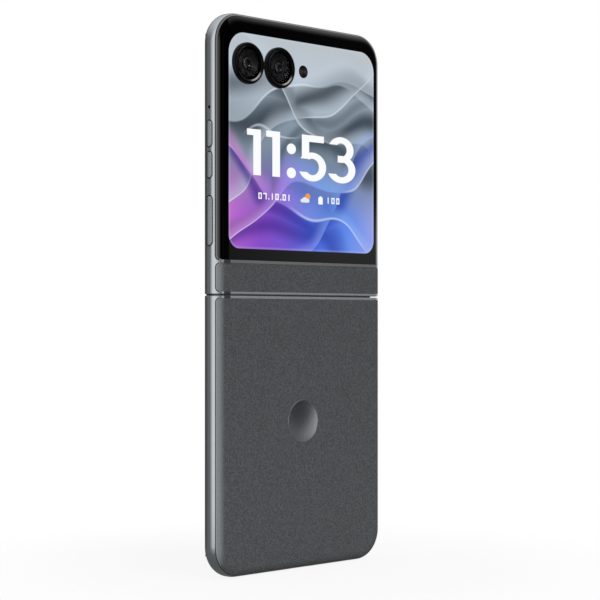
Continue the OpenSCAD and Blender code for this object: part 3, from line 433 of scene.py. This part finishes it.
def wrappedFrame():
    # blasted metal; on the back's rounding the leather and the cover glass run over the edge to a thin seam
    made = Finish("frameMetal", Specular_IOR_Level=0.4, Coat_IOR=2.0, Coat_Roughness=0.06)
    place = made.coordinates()
    x, y, z = made.millimetres()
    grain = made.noise(place, blasting["pit"], 1.0)
    cloud = made.noise(place, blasting["cloud"])
    out = abs(z - foldHeight)
    upper = z.above(foldHeight)
    byGlass = z.ease(ribMiddle, ribMiddle + 0.1)
    aboveFoot = z.ease(ribFoot, ribFoot + 0.02)
    facesBack = y.ease(*backFace)

    # the rim lies close to the outline; a panel on it ends at the fold or at the rib, and at the seam
    outline = made.reach(abs(x) - (shell["half"] - shell["corner"]), out - (foldHeight - shell["corner"]))
    rim = (outline - shell["corner"]).ease(-shell["rim"] - 0.05, -shell["rim"])
    fromRib = (abs(out - shell["rib"]) - shell["ribHalf"]) * upper + 99 * (1 - upper)  # the lower half has none
    fromEnd = (out - shell["slit"]).smaller(fromRib)
    climb = (y - shell["seam"]) * 1.25  # the way round the edge is longer than the rise
    past = made.reach(shell["round"] - fromEnd, shell["round"] - climb) - shell["round"]
    panel = rim * (1 - past.ease(-0.02, 0.0))
    seamWidth = 0.25 + 0.1 * z.above(ribMiddle)  # wider beside the glass
    seam = rim * (1 - (past - seamWidth).ease(-0.01, 0.02)) * (1 - panel)
    glass = panel * byGlass
    # the strip's leather laps onto the rib's foot
    lap = facesBack * upper * aboveFoot * (1 - z.ease(ribFoot + 0.32, ribFoot + 0.35))
    panel = panel.larger(lap)
    hide = panel - glass
    tone, rough, relief = grained(made)

    metal = made.mix(cloud * 0.5 + grain * 0.5, tint("aab0b4"), tint("bac0c4"))
    # painted shade: the metal that faces the back above the rib's foot is darkened
    metal = made.mix(facesBack * aboveFoot * 0.45, metal, tint("4c5053"))
    # painted shade in the gaps round the keys
    metal = made.mix(keyGapShade(made, x, y, z), metal, tint("505458"))
    colour = made.mix(panel, metal, tone)
    colour = made.mix(glass, colour, tint("060607"))
    made.set("Base Color", made.mix(seam, colour, tint("101112")))
    # what faces the back is less metallic than the sides, a differently shaded copy of the same metal
    made.set("Metallic", (1 - panel) * (1 - seam) * (1 - facesBack * 0.35))
    made.set("Coat Weight", glass * (1 - y.ease(2.77, 2.9)))
    made.set("Roughness", (grain * 0.12 + 0.26) * (1 - panel) + rough * hide + glass * 0.05)
    made.bump(grain * (1 - panel) * 0.2 + relief * hide, 0.00005, 0.5)
    return made


dress("frame_metal", wrappedFrame())


# the plain disc in the lower cover, in mm: its radius and that of the dish in it, depth of the dish's middle,
# height of the dish, and depths of the rim's top and of the underside
discShape = {"radius": 6.8, "dish": 6.7, "middle": 6.42, "height": 0.4, "top": 6.8, "under": 6.3}


def spun():
    # satin metal turned on a lathe: fine rings round the disc's own axis, and a painted highlight that lightens
    # it towards the low far side
    made = Finish("polishedDisc", Metallic=1.0)
    x, y, z = made.millimetres()
    up = z - discHeight
    ring = made.noise(made.vector(made.length(made.vector(x, up)), 0.0), 0.9)
    # painted highlight towards the low far side
    far = ((x * -0.75 - up * 0.66) / discShape["dish"]).ease(-0.1, 0.7)
    dark = made.mix(ring, tint("9fa6ad"), tint("b2b8be"))
    made.set("Base Color", made.mix(far, dark, tint("ced4da")))
    made.set("Roughness", ring * 0.08 + 0.22)
    return made


discFinish = dress("polished_disc", spun())


# cover glass: black border and the lit picture in it

# the window, in mm: half width, low and high edge, radius of the lower and of the upper corners, how far the
# picture is shifted across the glass and how much narrower it is drawn
window = {"half": 33.0, "low": 99.8, "high": 165.3, "lowCorner": 4.3, "highCorner": 6.5, "shift": 0.4,
          "scale": 0.988}
softEdge = 0.12  # width over which the signs' edges blend, in mm

# colours from the bottom to the top, and from the keys' side to the far side
skyStops = ((0.0, "6f7fa0"), (0.42, "77879a"), (0.62, "8b9aa8"), (0.8, "b4c0cb"), (1.0, "bcc3c9"))
lowStops = ((0.0, "c56ed2"), (0.24, "8547c4"), (0.5, "3c5bd6"), (0.72, "5d88ea"), (1.0, "9da6e6"))
glowStops = ((0.0, "e79be6"), (0.34, "b78df2"), (0.62, "7fb0fb"), (1.0, "b3bdf2"))

# the ribbons follow lines v = lift + rise u + swing sin(pace u + phase) in mm; a row holds rise, lift, swing,
# pace and phase, and apart from crests its width and strength
ribbons = {
    "dark": ((0.22, 146.0, 3.5, 0.11, 0.4, 8.0, 1.0), (-0.35, 139.5, 4.0, 0.09, 2.0, 6.5, 0.9),
             (0.75, 131.0, 3.0, 0.13, 1.1, 5.0, 0.6)),
    "darkFarSide": (0.12, 133.5, 3.5, 0.13, 4.6, 6.0),
    "pale": ((0.18, 148.5, 4.0, 0.1, 1.3, 12.0, 1.0), (-0.3, 153.0, 3.0, 0.12, 0.2, 9.0, 0.7),
             (0.6, 139.5, 3.5, 0.12, 3.0, 8.0, 0.8), (-0.42, 141.0, 2.5, 0.15, 4.0, 6.0, 0.6)),
    "deep": ((0.45, 113.0, 4.5, 0.1, 4.4, 6.0, 1.0), (-0.6, 108.5, 3.0, 0.14, 0.9, 4.5, 1.0)),
    "glow": ((0.35, 117.0, 4.0, 0.11, 2.2, 9.0, 1.0), (-0.5, 112.0, 3.0, 0.13, 0.3, 7.0, 0.8),
             (0.9, 106.0, 3.0, 0.1, 5.0, 6.0, 0.7)),
    "crest": ((0.18, 148.5, 4.0, 0.1, 1.3), (0.6, 139.5, 3.5, 0.12, 3.0), (-0.42, 141.0, 2.5, 0.15, 4.0),
              (0.12, 136.0, 3.5, 0.13, 4.6), (0.35, 117.0, 4.0, 0.11, 2.2), (-0.5, 112.0, 3.0, 0.13, 0.3)),
}


def box(u, v, left, right, low, high):
    # 1 inside a rectangle
    inside = (u - left).smaller(right - u).smaller((v - low).smaller(high - v))
    return (inside / softEdge + 0.5).clamped()


def oval(u, v, centre, radii):
    # 1 inside an ellipse
    graph = u.graph
    share = graph.length(graph.vector((u - centre[0]) / radii[0], (v - centre[1]) / radii[1]))
    return ((1 - share) * (min(radii) / softEdge) + 0.5).clamped()


def bowl(u, v, centre, outer, stroke):
    # an elliptic ring; stroke is its thickness across and up
    inner = (outer[0] - stroke[0], outer[1] - stroke[1])
    return oval(u, v, centre, outer) * (1 - oval(u, v, centre, inner))


def clock(u, v):
    # bold figures of a clock: upright strokes are 3.3 mm wide and flat ones 1.9 mm
    low, high, bar, stroke = 122.4, 136.4, 134.5, (3.35, 1.95)
    ones = [box(u, v, -22.6, -19.3, low, high), box(u, v, -25.3, -22.0, bar, high),
            box(u, v, -14.3, -10.9, low, high), box(u, v, -17.0, -13.7, bar, high)]
    colon = [oval(u, v, (-5.85, height), (2.05, 1.65)) for height in (131.5, 124.0)]
    # five: a bar, a stem and a bowl open at the left
    gap = u.below(2.0) * v.above(124.7) * v.below(128.9)
    five = [box(u, v, -1.1, 9.1, 134.3, high), box(u, v, -1.1, 2.25, 128.9, 136.3),
            bowl(u, v, (3.7, 126.45), (6.4, 4.55), stroke) * (1 - gap)]
    # three: two bowls open at the left
    left = u.below(15.6)
    three = [bowl(u, v, (17.2, 132.75), (6.0, 4.1), stroke) * (1 - left * v.below(134.3)),
             bowl(u, v, (17.4, 126.45), (6.7, 4.4), stroke) * (1 - left * v.above(124.9))]
    return largest(ones + colon + five + three)


def smallFigure(u, v, left, kind):
    # a figure 1.5 mm wide and 2 mm tall on the line under the clock
    low, high, right = 115.2, 117.15, left + 1.5
    if kind == "1":
        return box(u, v, left + 0.55, left + 1.0, low, high)
    if kind == "7":
        return box(u, v, left, right, high - 0.4, high).larger(box(u, v, right - 0.45, right, low, high))
    if kind == ".":
        return box(u, v, left + 0.1, left + 0.55, low, low + 0.45)
    ring = box(u, v, left, right, low, high)
    return ring * (1 - box(u, v, left + 0.45, right - 0.45, low + 0.4, high - 0.4))


def smallLine(u, v):
    # the numbers under the clock and a charge sign
    figures, left = [], -20.4
    for sign in "07.10.01":
        figures.append(smallFigure(u, v, left, sign))
        left += 1.1 if sign == "." else 2.1
    figures += [smallFigure(u, v, place, sign) for place, sign in zip((10.3, 12.6, 14.9), "100")]
    return largest(figures + [box(u, v, 6.5, 8.5, 114.8, 117.0), box(u, v, 7.05, 7.95, 116.9, 117.35)])


def ribbonPicture(made, u, v):
    # pale above, slate across the middle, violet to blue to periwinkle below, and soft ribbons over all;
    # a slow noise bends the whole
    drift = made.noise(made.coordinates(), 1 / 26, 1.0, "Color")
    shiftU, shiftV = made.axes(drift)[:2]
    a = u + (shiftU - 0.5) * 34
    b = v + (shiftV - 0.5) * 26
    across = (a + 34) / 68

    def over(rise, lift, swing, pace, phase):
        # height over a ribbon's line
        return b - (a * rise + lift + (a * pace + phase).sine() * swing)

    def veil(*line):
        # lit along one crisp edge, and fading away from it
        height = over(*line[:5])
        return height.ease(-0.35, 0.25) * (1 - height.ease(0.0, line[5]))

    def shade(*line):
        return 1 - abs(over(*line[:5]) / line[5]).ease(0.0, 1.0)

    def crest(*line):
        return (1 - abs(over(*line) - 0.35).ease(0.0, 0.55)) * (a * 0.11 + line[4] * 2).sine().ease(-0.4, 0.7)

    def layer(shape, kind):
        return largest([shape(*line) * strength for *line, strength in ribbons[kind]])

    sky = made.ramp((b - 99) / 67, skyStops)
    picture = made.mix(1 - (b + a * 0.12).ease(107, 131), sky, made.ramp(across, lowStops))
    dark = layer(shade, "dark").larger(shade(*ribbons["darkFarSide"]) * a.ease(-8, 10))
    picture = made.mix(dark * 0.86, picture, tint("2c3741"))
    picture = made.mix(layer(veil, "pale") * 0.5, picture, tint("c9d6e2"))
    deepTone = made.mix(a.ease(-16, 6), tint("4a2391"), tint("1c37a8"))
    picture = made.mix(layer(shade, "deep") * 0.75, picture, deepTone)
    picture = made.mix(layer(veil, "glow") * 0.6, picture, made.ramp(across, glowStops))
    crests = largest([crest(*line) for line in ribbons["crest"]])
    return made.mix(crests * 0.45, picture, tint("e4edf6"))


def coverPicture():
    made = Finish("coverGlass", "060607", IOR=1.5, Coat_IOR=2.0, Coat_Roughness=0.04)
    x, y, z = made.millimetres()
    # the border's gloss fades towards the keys' side, and the rounding at both sides is coated
    near = x.ease(35.1, 36.3)
    made.set("Metallic", (x * 0.0125 + 0.17).clamped().larger(x.ease(31.3, 32.4)) * (1 - near))
    made.set("Coat Weight", near.larger(1 - x.ease(-34.1, -33.9)))
    u = (0 - x - window["shift"]) / window["scale"]
    v = z
    picture = ribbonPicture(made, u, v)

    # clock, numbers and signs; the weather sign is a small sun behind a cloud
    picture = made.mix(clock(u, v).larger(smallLine(u, v)), picture, tint("fbfcfd"))
    picture = made.mix(oval(u, v, (1.6, 117.0), (1.15, 0.95)), picture, tint("f0a03c"))
    cloud = largest([oval(u, v, (0.2, 115.9), (1.1, 0.85)), oval(u, v, (1.5, 115.7), (0.9, 0.65)),
                     oval(u, v, (-0.9, 115.6), (0.8, 0.55)), box(u, v, -0.9, 1.5, 115.05, 115.6)])
    picture = made.mix(cloud, picture, tint("e6ebf2"))

    # the window's outline: distance from a rectangle with round corners
    middle, tall = (window["low"] + window["high"]) / 2, (window["high"] - window["low"]) / 2
    corner = v.above(middle) * (window["highCorner"] - window["lowCorner"]) + window["lowCorner"]
    edge = made.reach(abs(u) - (window["half"] - corner), abs(v - middle) - (tall - corner)) - corner
    # a pale band just inside the window's edge: a painted highlight of the glass's edge
    picture = made.mix(edge.ease(-0.9, -0.25) * 0.12, picture, tint("dfe7ee"))
    lit = ((0 - edge) / 0.15 + 0.5).clamped()
    made.set("Emission Color", made.mix(lit, tint("000000"), picture))
    made.set("Emission Strength", 1.0)
    smear = made.noise(made.coordinates(), 0.014)
    made.set("Roughness", smear * 0.03 + 0.02)
    return made


dress("cover_glass", coverPicture())


def offPanel(name, dark, light):
    # a display that is off: black film with a faint pixel weave
    made = Finish(name, IOR=1.5, Coat_Weight=0.6, Coat_Roughness=0.03)
    x, y, z = made.millimetres()
    weave = ((x * 42).sine() * (z * 42).sine()) * 0.5 + 0.5
    sheen = made.noise(made.coordinates(), 0.03)
    made.set("Base Color", made.mix(weave * 0.5 + sheen * 0.5, tint(dark), tint(light)))
    made.set("Roughness", sheen * 0.04 + 0.06)
    return made


dress("cover_display", offPanel("coverDisplay", "10141c", "1a2130"))
innerFilm = dress("inner_display", offPanel("innerDisplay", "08080b", "0e0e13"))
print("glass, picture and leather ready")


# camera rings, windows and what shows through them

# each camera's place, the radius of its lens and the two colours of the lens's coating
cameras = {
    "main": {"x": 24.6, "eye": 1.75, "coating": ("0b0f1c", "1d2238")},
    "wide": {"x": 11.1, "eye": 1.6, "coating": ("0a0f14", "162a35")},
}
# in mm: the baffles' outer radius, depths at their steps' foot and top, and the number of steps; the lenses'
# depth at the edge and their height; the radius within which the rings' inner bevel carries a painted highlight
cameraShape = {"outer": 3.88, "foot": 6.62, "top": 7.14, "steps": 6, "lensEdge": 6.86, "lensHeight": 0.22,
               "bevel": 5.5}


def speckled(made, code, rough):
    # black paint with faint specks in its colour and gloss
    speck = made.noise(made.coordinates(), 0.0012)
    made.set("Roughness", speck * 0.08 + rough)
    return made.mix(speck, tint(code), tint("0d0d0e"))


def enamel(name, code, rough):
    made = Finish(name, Specular_IOR_Level=0.22)
    made.set("Base Color", speckled(made, code, rough))
    return made


def ringEnamel():
    # black paint; the inner bevel of each ring has a painted highlight at its low far side, a light crescent
    # that is also made metallic so that it mirrors its surroundings
    made = Finish("ringMetal", Coat_Weight=0.03, Coat_Roughness=0.04, Specular_IOR_Level=0.1)
    main, wide = cameras["main"]["x"], cameras["wide"]["x"]
    x, y, z = made.millimetres()
    side = x - wide - x.above((main + wide) / 2) * (main - wide)
    rise = z - cameraHeight
    radius = made.length(made.vector(side, rise))
    inside = 1 - radius.ease(cameraShape["bevel"], cameraShape["bevel"] + 0.1)
    # painted highlight: a light crescent at the low far side of the bevel
    paintedGlint = ((side * -0.57 + rise * -0.82) / radius).ease(0.84, 0.995) * inside
    made.set("Base Color", made.mix(paintedGlint, speckled(made, "030304", 0.2), tint("a8a39e")))
    made.set("Metallic", paintedGlint)
    return made


def clearGlass():
    # clear coated window: mostly see-through, the coating adds a faint colour
    made = Finish("lensGlass", Roughness=0.0, IOR=1.45, Transmission_Weight=1.0)
    tone = made.noise(made.coordinates(), 0.006)
    made.set("Base Color", made.mix(tone, tint("eef1f8"), tint("ffffff")))
    return made


def lensCoating(name, first, second):
    # dark lens element: the coating's colour turns from the rim to the middle
    made = Finish(name, Roughness=0.02, IOR=1.6, Coat_Weight=0.4, Coat_Roughness=0.01)
    facing = made.node("ShaderNodeLayerWeight", None, {"Blend": 0.35}, output="Facing")
    made.set("Base Color", made.mix(facing, tint(first), tint(second)))
    return made


def flashRibs():
    # smoked window with the rings of a flat lens
    made = Finish("flashDiffuser", Roughness=0.08, IOR=1.5, Coat_Weight=0.6, Coat_Roughness=0.03)
    x, y, z = made.millimetres()
    radius = made.length(made.vector(x, z - cameraHeight))
    ring = (radius * 21).sine() * 0.5 + 0.5
    warm = 1 - radius.ease(0.2, 1.4)
    made.set("Base Color", made.mix(warm, tint("060606"), made.mix(ring, tint("1a1614"), tint("30291f"))))
    made.bump(ring, 0.00004, 0.6)
    return made


ringPaint = dress("ring_metal", ringEnamel())
dress("camera_black", enamel("cameraBlack", "090909", 0.4))
dress("lens_glass", clearGlass())
dress("flash_diffuser", flashRibs())
baffleBlack = enamel("baffleBlack", "332e2b", 0.26)


def mesh(name, points, faces, finish, smooth=True):
    # points are in metres; the faces are turned outwards by the sign of the volume that they enclose
    points, faces = np.asarray(points, float), np.asarray(faces)
    a, b, c, d = (points[faces[:, k]] for k in range(4))
    if (a * (np.cross(b, c) + np.cross(c, d))).sum() < 0:
        faces = faces[:, ::-1]
    data = bpy.data.meshes.new(name)
    data.from_pydata(points.tolist(), [], faces.tolist())
    data.validate()
    data.polygons.foreach_set("use_smooth", np.full(len(data.polygons), smooth))
    made = bpy.data.objects.new(name, data)
    bpy.context.scene.collection.objects.link(made)
    data.materials.append(finish.material)
    return made


def curve(radius, depth):
    # a profile's (radius, depth) pairs
    return np.stack([radius, depth], -1).tolist()


def turned(name, profile, spots, finish, around=96):
    # a closed profile of (radius, depth) pairs in mm, turned about an axis through each (x, out) spot that
    # points out of the back: x + radius cos(angle) and out + radius sin(angle); radius 0 is drawn as a very
    # small circle, so that all faces are quads
    shape = np.array(profile, float)
    radius = np.maximum(shape[:, :1], 0.004)
    angle = np.linspace(0, 2 * np.pi, around, endpoint=False)[None, :]
    depth = shape[:, 1:] + 0 * angle
    points = [row(x + radius * np.cos(angle), depth, out + radius * np.sin(angle)) for x, out in spots]
    i, j = np.meshgrid(np.arange(len(shape)), np.arange(around), indexing="ij")
    down, along = (i + 1) % len(shape), (j + 1) % around
    ring = np.stack([i * around + j, i * around + along, down * around + along, down * around + j], -1)
    faces = [ring.reshape(-1, 4) + k * len(shape) * around for k in range(len(spots))]
    return mesh(name, np.concatenate(points).reshape(-1, 3), np.concatenate(faces), finish)


def stepped(inner, outer, foot, top, steps):
    # a cone's face cut into steps: each is a short flat with a rise of 0.012 mm, and a short slope
    radius = np.linspace(inner, outer, steps + 1)
    depth = np.linspace(foot, top, steps + 1)
    flats = curve(radius[:-1] + (radius[1] - radius[0]) * 0.7, depth[:-1] + 0.012)
    line = [point for pair in zip(curve(radius, depth), flats) for point in pair]
    return line + [(outer, top)]


# the disc is a shallow dish with a rounded rim: depth = middle + height (r / dish)^2
dishRadius = np.concatenate([[0, 0.02], np.linspace(0.3, discShape["dish"], 24)])
dish = curve(dishRadius, discShape["middle"] + discShape["height"] * (dishRadius / discShape["dish"]) ** 2)
rimAndFoot = [(discShape["radius"] - 0.04, discShape["top"]), (discShape["radius"], discShape["top"] - 0.06),
              (discShape["radius"], discShape["under"]), (0.02, discShape["under"]), (0, discShape["under"])]
disc = turned("dishedDisc", dish + rimAndFoot, [(0.0, discHeight - foldHeight)], discFinish, around=160)
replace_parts(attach(disc, "lower_half"), "metal_disc")

# domed soft bumper pads on the bezels, in mm: radius, distances from the middle and from the fold, depths of
# top, rim and foot; depth = top + (rim - top) s^3, with s from 0 to 1 as the radius grows
pads = {"radius": 0.8, "x": 34.35, "out": 78.65, "top": -0.75, "rim": -0.45, "foot": -0.02}
share = np.linspace(0, 1, 9)
cap = curve(pads["radius"] * share, pads["top"] + (pads["rim"] - pads["top"]) * share ** 3)
for half, name in ((1, "upper"), (-1, "lower")):
    piece = turned(name + "Bumpers", cap + [(pads["radius"], pads["foot"]), (0, pads["foot"])],
                   [(side * pads["x"], half * pads["out"]) for side in (-1, 1)], rubber, around=32)
    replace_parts(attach(piece, name + "_half"), "bumper_pads_" + name)

# behind each window: a stepped baffle, a domed lens with depth = edge + height (1 - s^2) and a thin iris
share = np.linspace(0, 1, 14)
for cameraName, camera in cameras.items():
    eye, foot, outer = camera["eye"], cameraShape["foot"], cameraShape["outer"]
    spot = [(camera["x"], cameraHeight - foldHeight)]
    face = stepped(eye + 0.12, outer, foot, cameraShape["top"], cameraShape["steps"])
    underside = [(outer, 6.9), (eye + 0.12, foot - 0.05)]
    baffle = turned(cameraName + "Baffle", face + underside, spot, baffleBlack)
    dome = curve(eye * share, cameraShape["lensEdge"] + cameraShape["lensHeight"] * (1 - share ** 2))
    coating = lensCoating(cameraName + "Coating", *camera["coating"])
    lens = turned(cameraName + "Lens", dome + [(eye, foot), (0, foot)], spot, coating)
    small, large = eye * 0.45, eye * 0.62
    washer = [(small, 7.07), (large, 7.03), (large, 6.99), (small, 6.99)]
    iris = turned(cameraName + "Iris", washer, spot, ringPaint)
    for piece in (baffle, lens, iris):
        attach(piece, "upper_half")
print("cameras ready")


# inner screen: one film in two flat sheets, one for each half

# in mm: half width, length from the fold, corner radius and thickness; for the inner camera's hole, distance
# from the fold, radius, and half the square patch round it
film = {"half": 34.3, "length": 82.95, "corner": 6.9, "thick": 0.6, "eye": 77.35, "hole": 2.05, "patch": 4.0}


def filmPlan(hole):
    # quads of one sheet seen from the front: rows are finest by the fold, and the columns of the outer parts
    # follow the outline's half width h(w) = half - r + sqrt(r^2 - (w - end + r)^2) at the round corners
    patch, eye, end, r = film["patch"], film["eye"], film["length"], film["corner"]
    last = eye + patch
    rows = np.concatenate([np.linspace(0, 4, 25), np.linspace(8, eye - patch, 10),
                           np.linspace(eye - patch, last, 9)[1:],
                           last + (end - last) * np.array([0.35, 0.62, 0.8, 0.92, 0.98, 1.0])])
    into = np.clip(rows - end + r, 0, r)
    half = film["half"] - r + np.sqrt(r * r - into ** 2)
    sides = patch + (half[:, None] - patch) * np.linspace(0, 1, 13)[None, :]
    inner = np.broadcast_to(np.linspace(-patch, patch, 9)[1:-1], (len(rows), 7))
    x = np.concatenate([-sides[:, ::-1], inner, sides], 1)
    points = np.stack([x, np.broadcast_to(rows[:, None], x.shape)], -1).reshape(-1, 2)
    columns = x.shape[1]
    i, j = np.meshgrid(np.arange(len(rows) - 1), np.arange(columns - 1), indexing="ij")
    first = (i * columns + j).reshape(-1)
    quads = np.stack([first, first + 1, first + columns + 1, first + columns], -1)
    if not hole:
        return points, quads
    middle = points[quads].mean(1)
    covered = (abs(middle[:, 0]) < patch) & (abs(middle[:, 1] - eye) < patch)
    quads = quads[~covered]
    # the patch round the hole: rings that go from the square to the circle
    steps = np.linspace(-patch, patch, 9)[:-1]
    flat = np.full(8, patch)
    square = np.concatenate([np.stack([steps, -flat], 1), np.stack([flat, steps], 1),
                             np.stack([-steps, flat], 1), np.stack([-flat, -steps], 1)])
    circle = square / np.linalg.norm(square, axis=1)[:, None] * film["hole"]
    share = np.linspace(0, 1, 5)[:, None, None]
    rings = (square * (1 - share) + circle * share + [0, eye]).reshape(-1, 2)
    count = len(square)
    i, j = np.meshgrid(np.arange(4), np.arange(count), indexing="ij")
    onward = (j + 1) % count
    ring = np.stack([i * count + j, i * count + onward, (i + 1) * count + onward, (i + 1) * count + j], -1)
    quads = np.concatenate([quads, ring.reshape(-1, 4) + len(points)])
    joined, index = np.unique(np.round(np.concatenate([points, rings]), 6), axis=0, return_inverse=True)
    return joined, index.reshape(-1)[quads]


def filmSheet(name, half, hole):
    # the plan drawn at the front and at the back, and walls on every edge that only one quad uses
    points, quads = filmPlan(hole)
    used, index = np.unique(quads, return_inverse=True)
    points, quads = points[used], index.reshape(quads.shape)
    count = len(points)
    edges = np.stack([quads, np.roll(quads, -1, 1)], -1).reshape(-1, 2)
    _, where, times = np.unique(np.sort(edges, 1), axis=0, return_inverse=True, return_counts=True)
    rim = edges[times[where.reshape(-1)] == 1]
    walls = np.stack([rim[:, 1], rim[:, 0], rim[:, 0] + count, rim[:, 1] + count], -1)
    faces = np.concatenate([quads, quads[:, ::-1] + count, walls])
    if half < 0:
        faces = faces[:, ::-1]
    sheets = [row(points[:, 0], depth, points[:, 1], half) for depth in (0.0, film["thick"])]
    return mesh(name, np.concatenate(sheets), faces, innerFilm, smooth=False)


for sheetName, half, body, nodes in (("innerScreenUpper", 1, "upper_half", ("upper_screen", "fold_screen")),
                                     ("innerScreenLower", -1, "lower_half", ("lower_screen",))):
    sheet = filmSheet(sheetName, half, half > 0)
    tuple(row(0, 0, 0.2, half))
    tuple(row(0, 0, 3.0, half))
    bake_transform(sheet)
    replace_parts(sheet, *nodes)
print("inner screen ready")


# floor, light and camera

# parts of the surroundings: direction, the cosines between which each comes up, and its level; shaded is what
# the flat back mirrors to the camera, and its level is the share that is taken away; above, foot and top hold
# heights between which light comes up or ends
softLights = {
    "keysSide": {"x": 0.99, "y": 0.139, "begins": 0.56, "full": 0.99, "level": 1.25},
    "fill": {"x": 0.5, "y": 0.866, "begins": 0.9, "full": 0.985, "level": 0.4},
    "panel": {"x": -0.375, "y": 0.927, "begins": 0.92, "full": 0.978, "level": 0.7},
}
shaded = {"x": -0.731, "y": 0.682, "begins": 0.94, "full": 0.985, "level": 0.9}
lowStrip = {"x": -0.731, "y": 0.682, "begins": 0.8, "full": 0.95, "level": 0.38, "foot": (-0.02, 0.015),
            "top": (0.045, 0.075)}
behind = {"x": -0.985, "y": -0.174, "begins": 0.79, "full": 0.93, "level": 1.0}
above = {"begins": 0.24, "full": 0.85, "level": 0.9}
dimness = 0.08


def surroundings():
    # soft lights round the phone and above it, shade with a low strip of light in it, and dimness elsewhere;
    # the camera sees white all round, and reflections and clear glass see white behind the phone
    world = bpy.data.worlds.new("studio")
    world.use_nodes = True
    graph = Graph(world.node_tree)
    x, y, z = graph.axes(graph.coordinates("Generated"))

    def part(look):
        return (x * look["x"] + y * look["y"]).ease(look["begins"], look["full"]) * look["level"]

    level = z.ease(above["begins"], above["full"]) * above["level"] + dimness
    for light in softLights.values():
        level = level + part(light)
    strip = part(lowStrip) * z.ease(*lowStrip["foot"]) * (1 - z.ease(*lowStrip["top"]))
    seen, glossy, through = graph.rays()
    level = level * (1 - part(shaded)) + strip + part(behind) * glossy.larger(through)
    level = level * (1 - seen) + seen
    back = world.node_tree.nodes["Background"]
    graph.feed(back.inputs["Strength"], level)
    back.inputs["Color"].default_value = (1, 1, 1, 1)
    bpy.context.scene.world = world


surroundings()

# half width of the floor and the distances over which it turns clear, in metres; how white the camera sees
# it, and how bright reflections see it
paper = {"half": 0.4, "fades": 0.045, "clear": 0.14, "white": 0.88, "mirrored": 0.18}


def whiteFloor():
    # white paper that takes the shadow and fades out into the white surroundings
    made = Finish("floorWhite", "d6d6d6", Roughness=0.9, Specular_IOR_Level=0.1)
    seen, glossy, through = made.rays()
    shade = made.mix(glossy, (1, 1, 1, 1), (paper["mirrored"],) * 3 + (1,))
    glow = made.node("ShaderNodeEmission", None, {"Color": shade, "Strength": 1.0})
    lit = (seen * paper["white"]).larger(glossy).larger(through * paper["white"])
    surface = Wire(made, made.shader.outputs[0])
    sheet = made.node("ShaderNodeMixShader", None, {0: lit, 1: surface, 2: glow})
    clear = made.node("ShaderNodeBsdfTransparent")
    x, y, z = made.axes(made.coordinates())
    fade = made.length(made.vector(x, y)).ease(paper["fades"], paper["clear"])
    output = next(n for n in made.tree.nodes if n.type == "OUTPUT_MATERIAL")
    made.feed(output.inputs["Surface"], made.node("ShaderNodeMixShader", None, {0: fade, 1: sheet, 2: clear}))
    return made


corners = np.array([(-1, -1, 0), (1, -1, 0), (1, 1, 0), (-1, 1, 0)]) * paper["half"]
floor = mesh("floor", corners, [(0, 1, 2, 3)], whiteFloor(), smooth=False)

keyLight = {"place": (0.13, 0.95, 0.72), "target": (0, 0, 0.09), "size": 0.6, "power": 5.7}


def lamp(name, look):
    # a square soft light that reflections don't show
    data = bpy.data.lights.new(name, "AREA")
    data.energy = look["power"]
    data.size = look["size"]
    made = bpy.data.objects.new(name, data)
    made.location = look["place"]
    aim = np.array(look["target"]) - np.array(look["place"])
    made.rotation_euler = (math.atan2(math.hypot(aim[0], aim[1]), -aim[2]), 0, math.atan2(-aim[0], aim[1]))
    made.visible_glossy = False
    bpy.context.scene.collection.objects.link(made)


lamp("keyLight", keyLight)

viewpoint = {"place": (0.3866, 0.3788, 0.0779), "turn": 134.42, "lens": 102.91, "shift": (0.0064, 0.0344)}
view = bpy.data.cameras.new("view")
view.sensor_width = 36
view.lens = viewpoint["lens"]
view.shift_x, view.shift_y = viewpoint["shift"]
view.clip_start = 0.02
view.clip_end = 40
viewer = bpy.data.objects.new("view", view)
viewer.location = viewpoint["place"]
viewer.rotation_euler = (math.radians(90), 0, math.radians(viewpoint["turn"]))
bpy.context.scene.collection.objects.link(viewer)
bpy.context.scene.camera = viewer
bpy.context.scene.view_settings.view_transform = "Standard"
print("floor, light and camera ready")
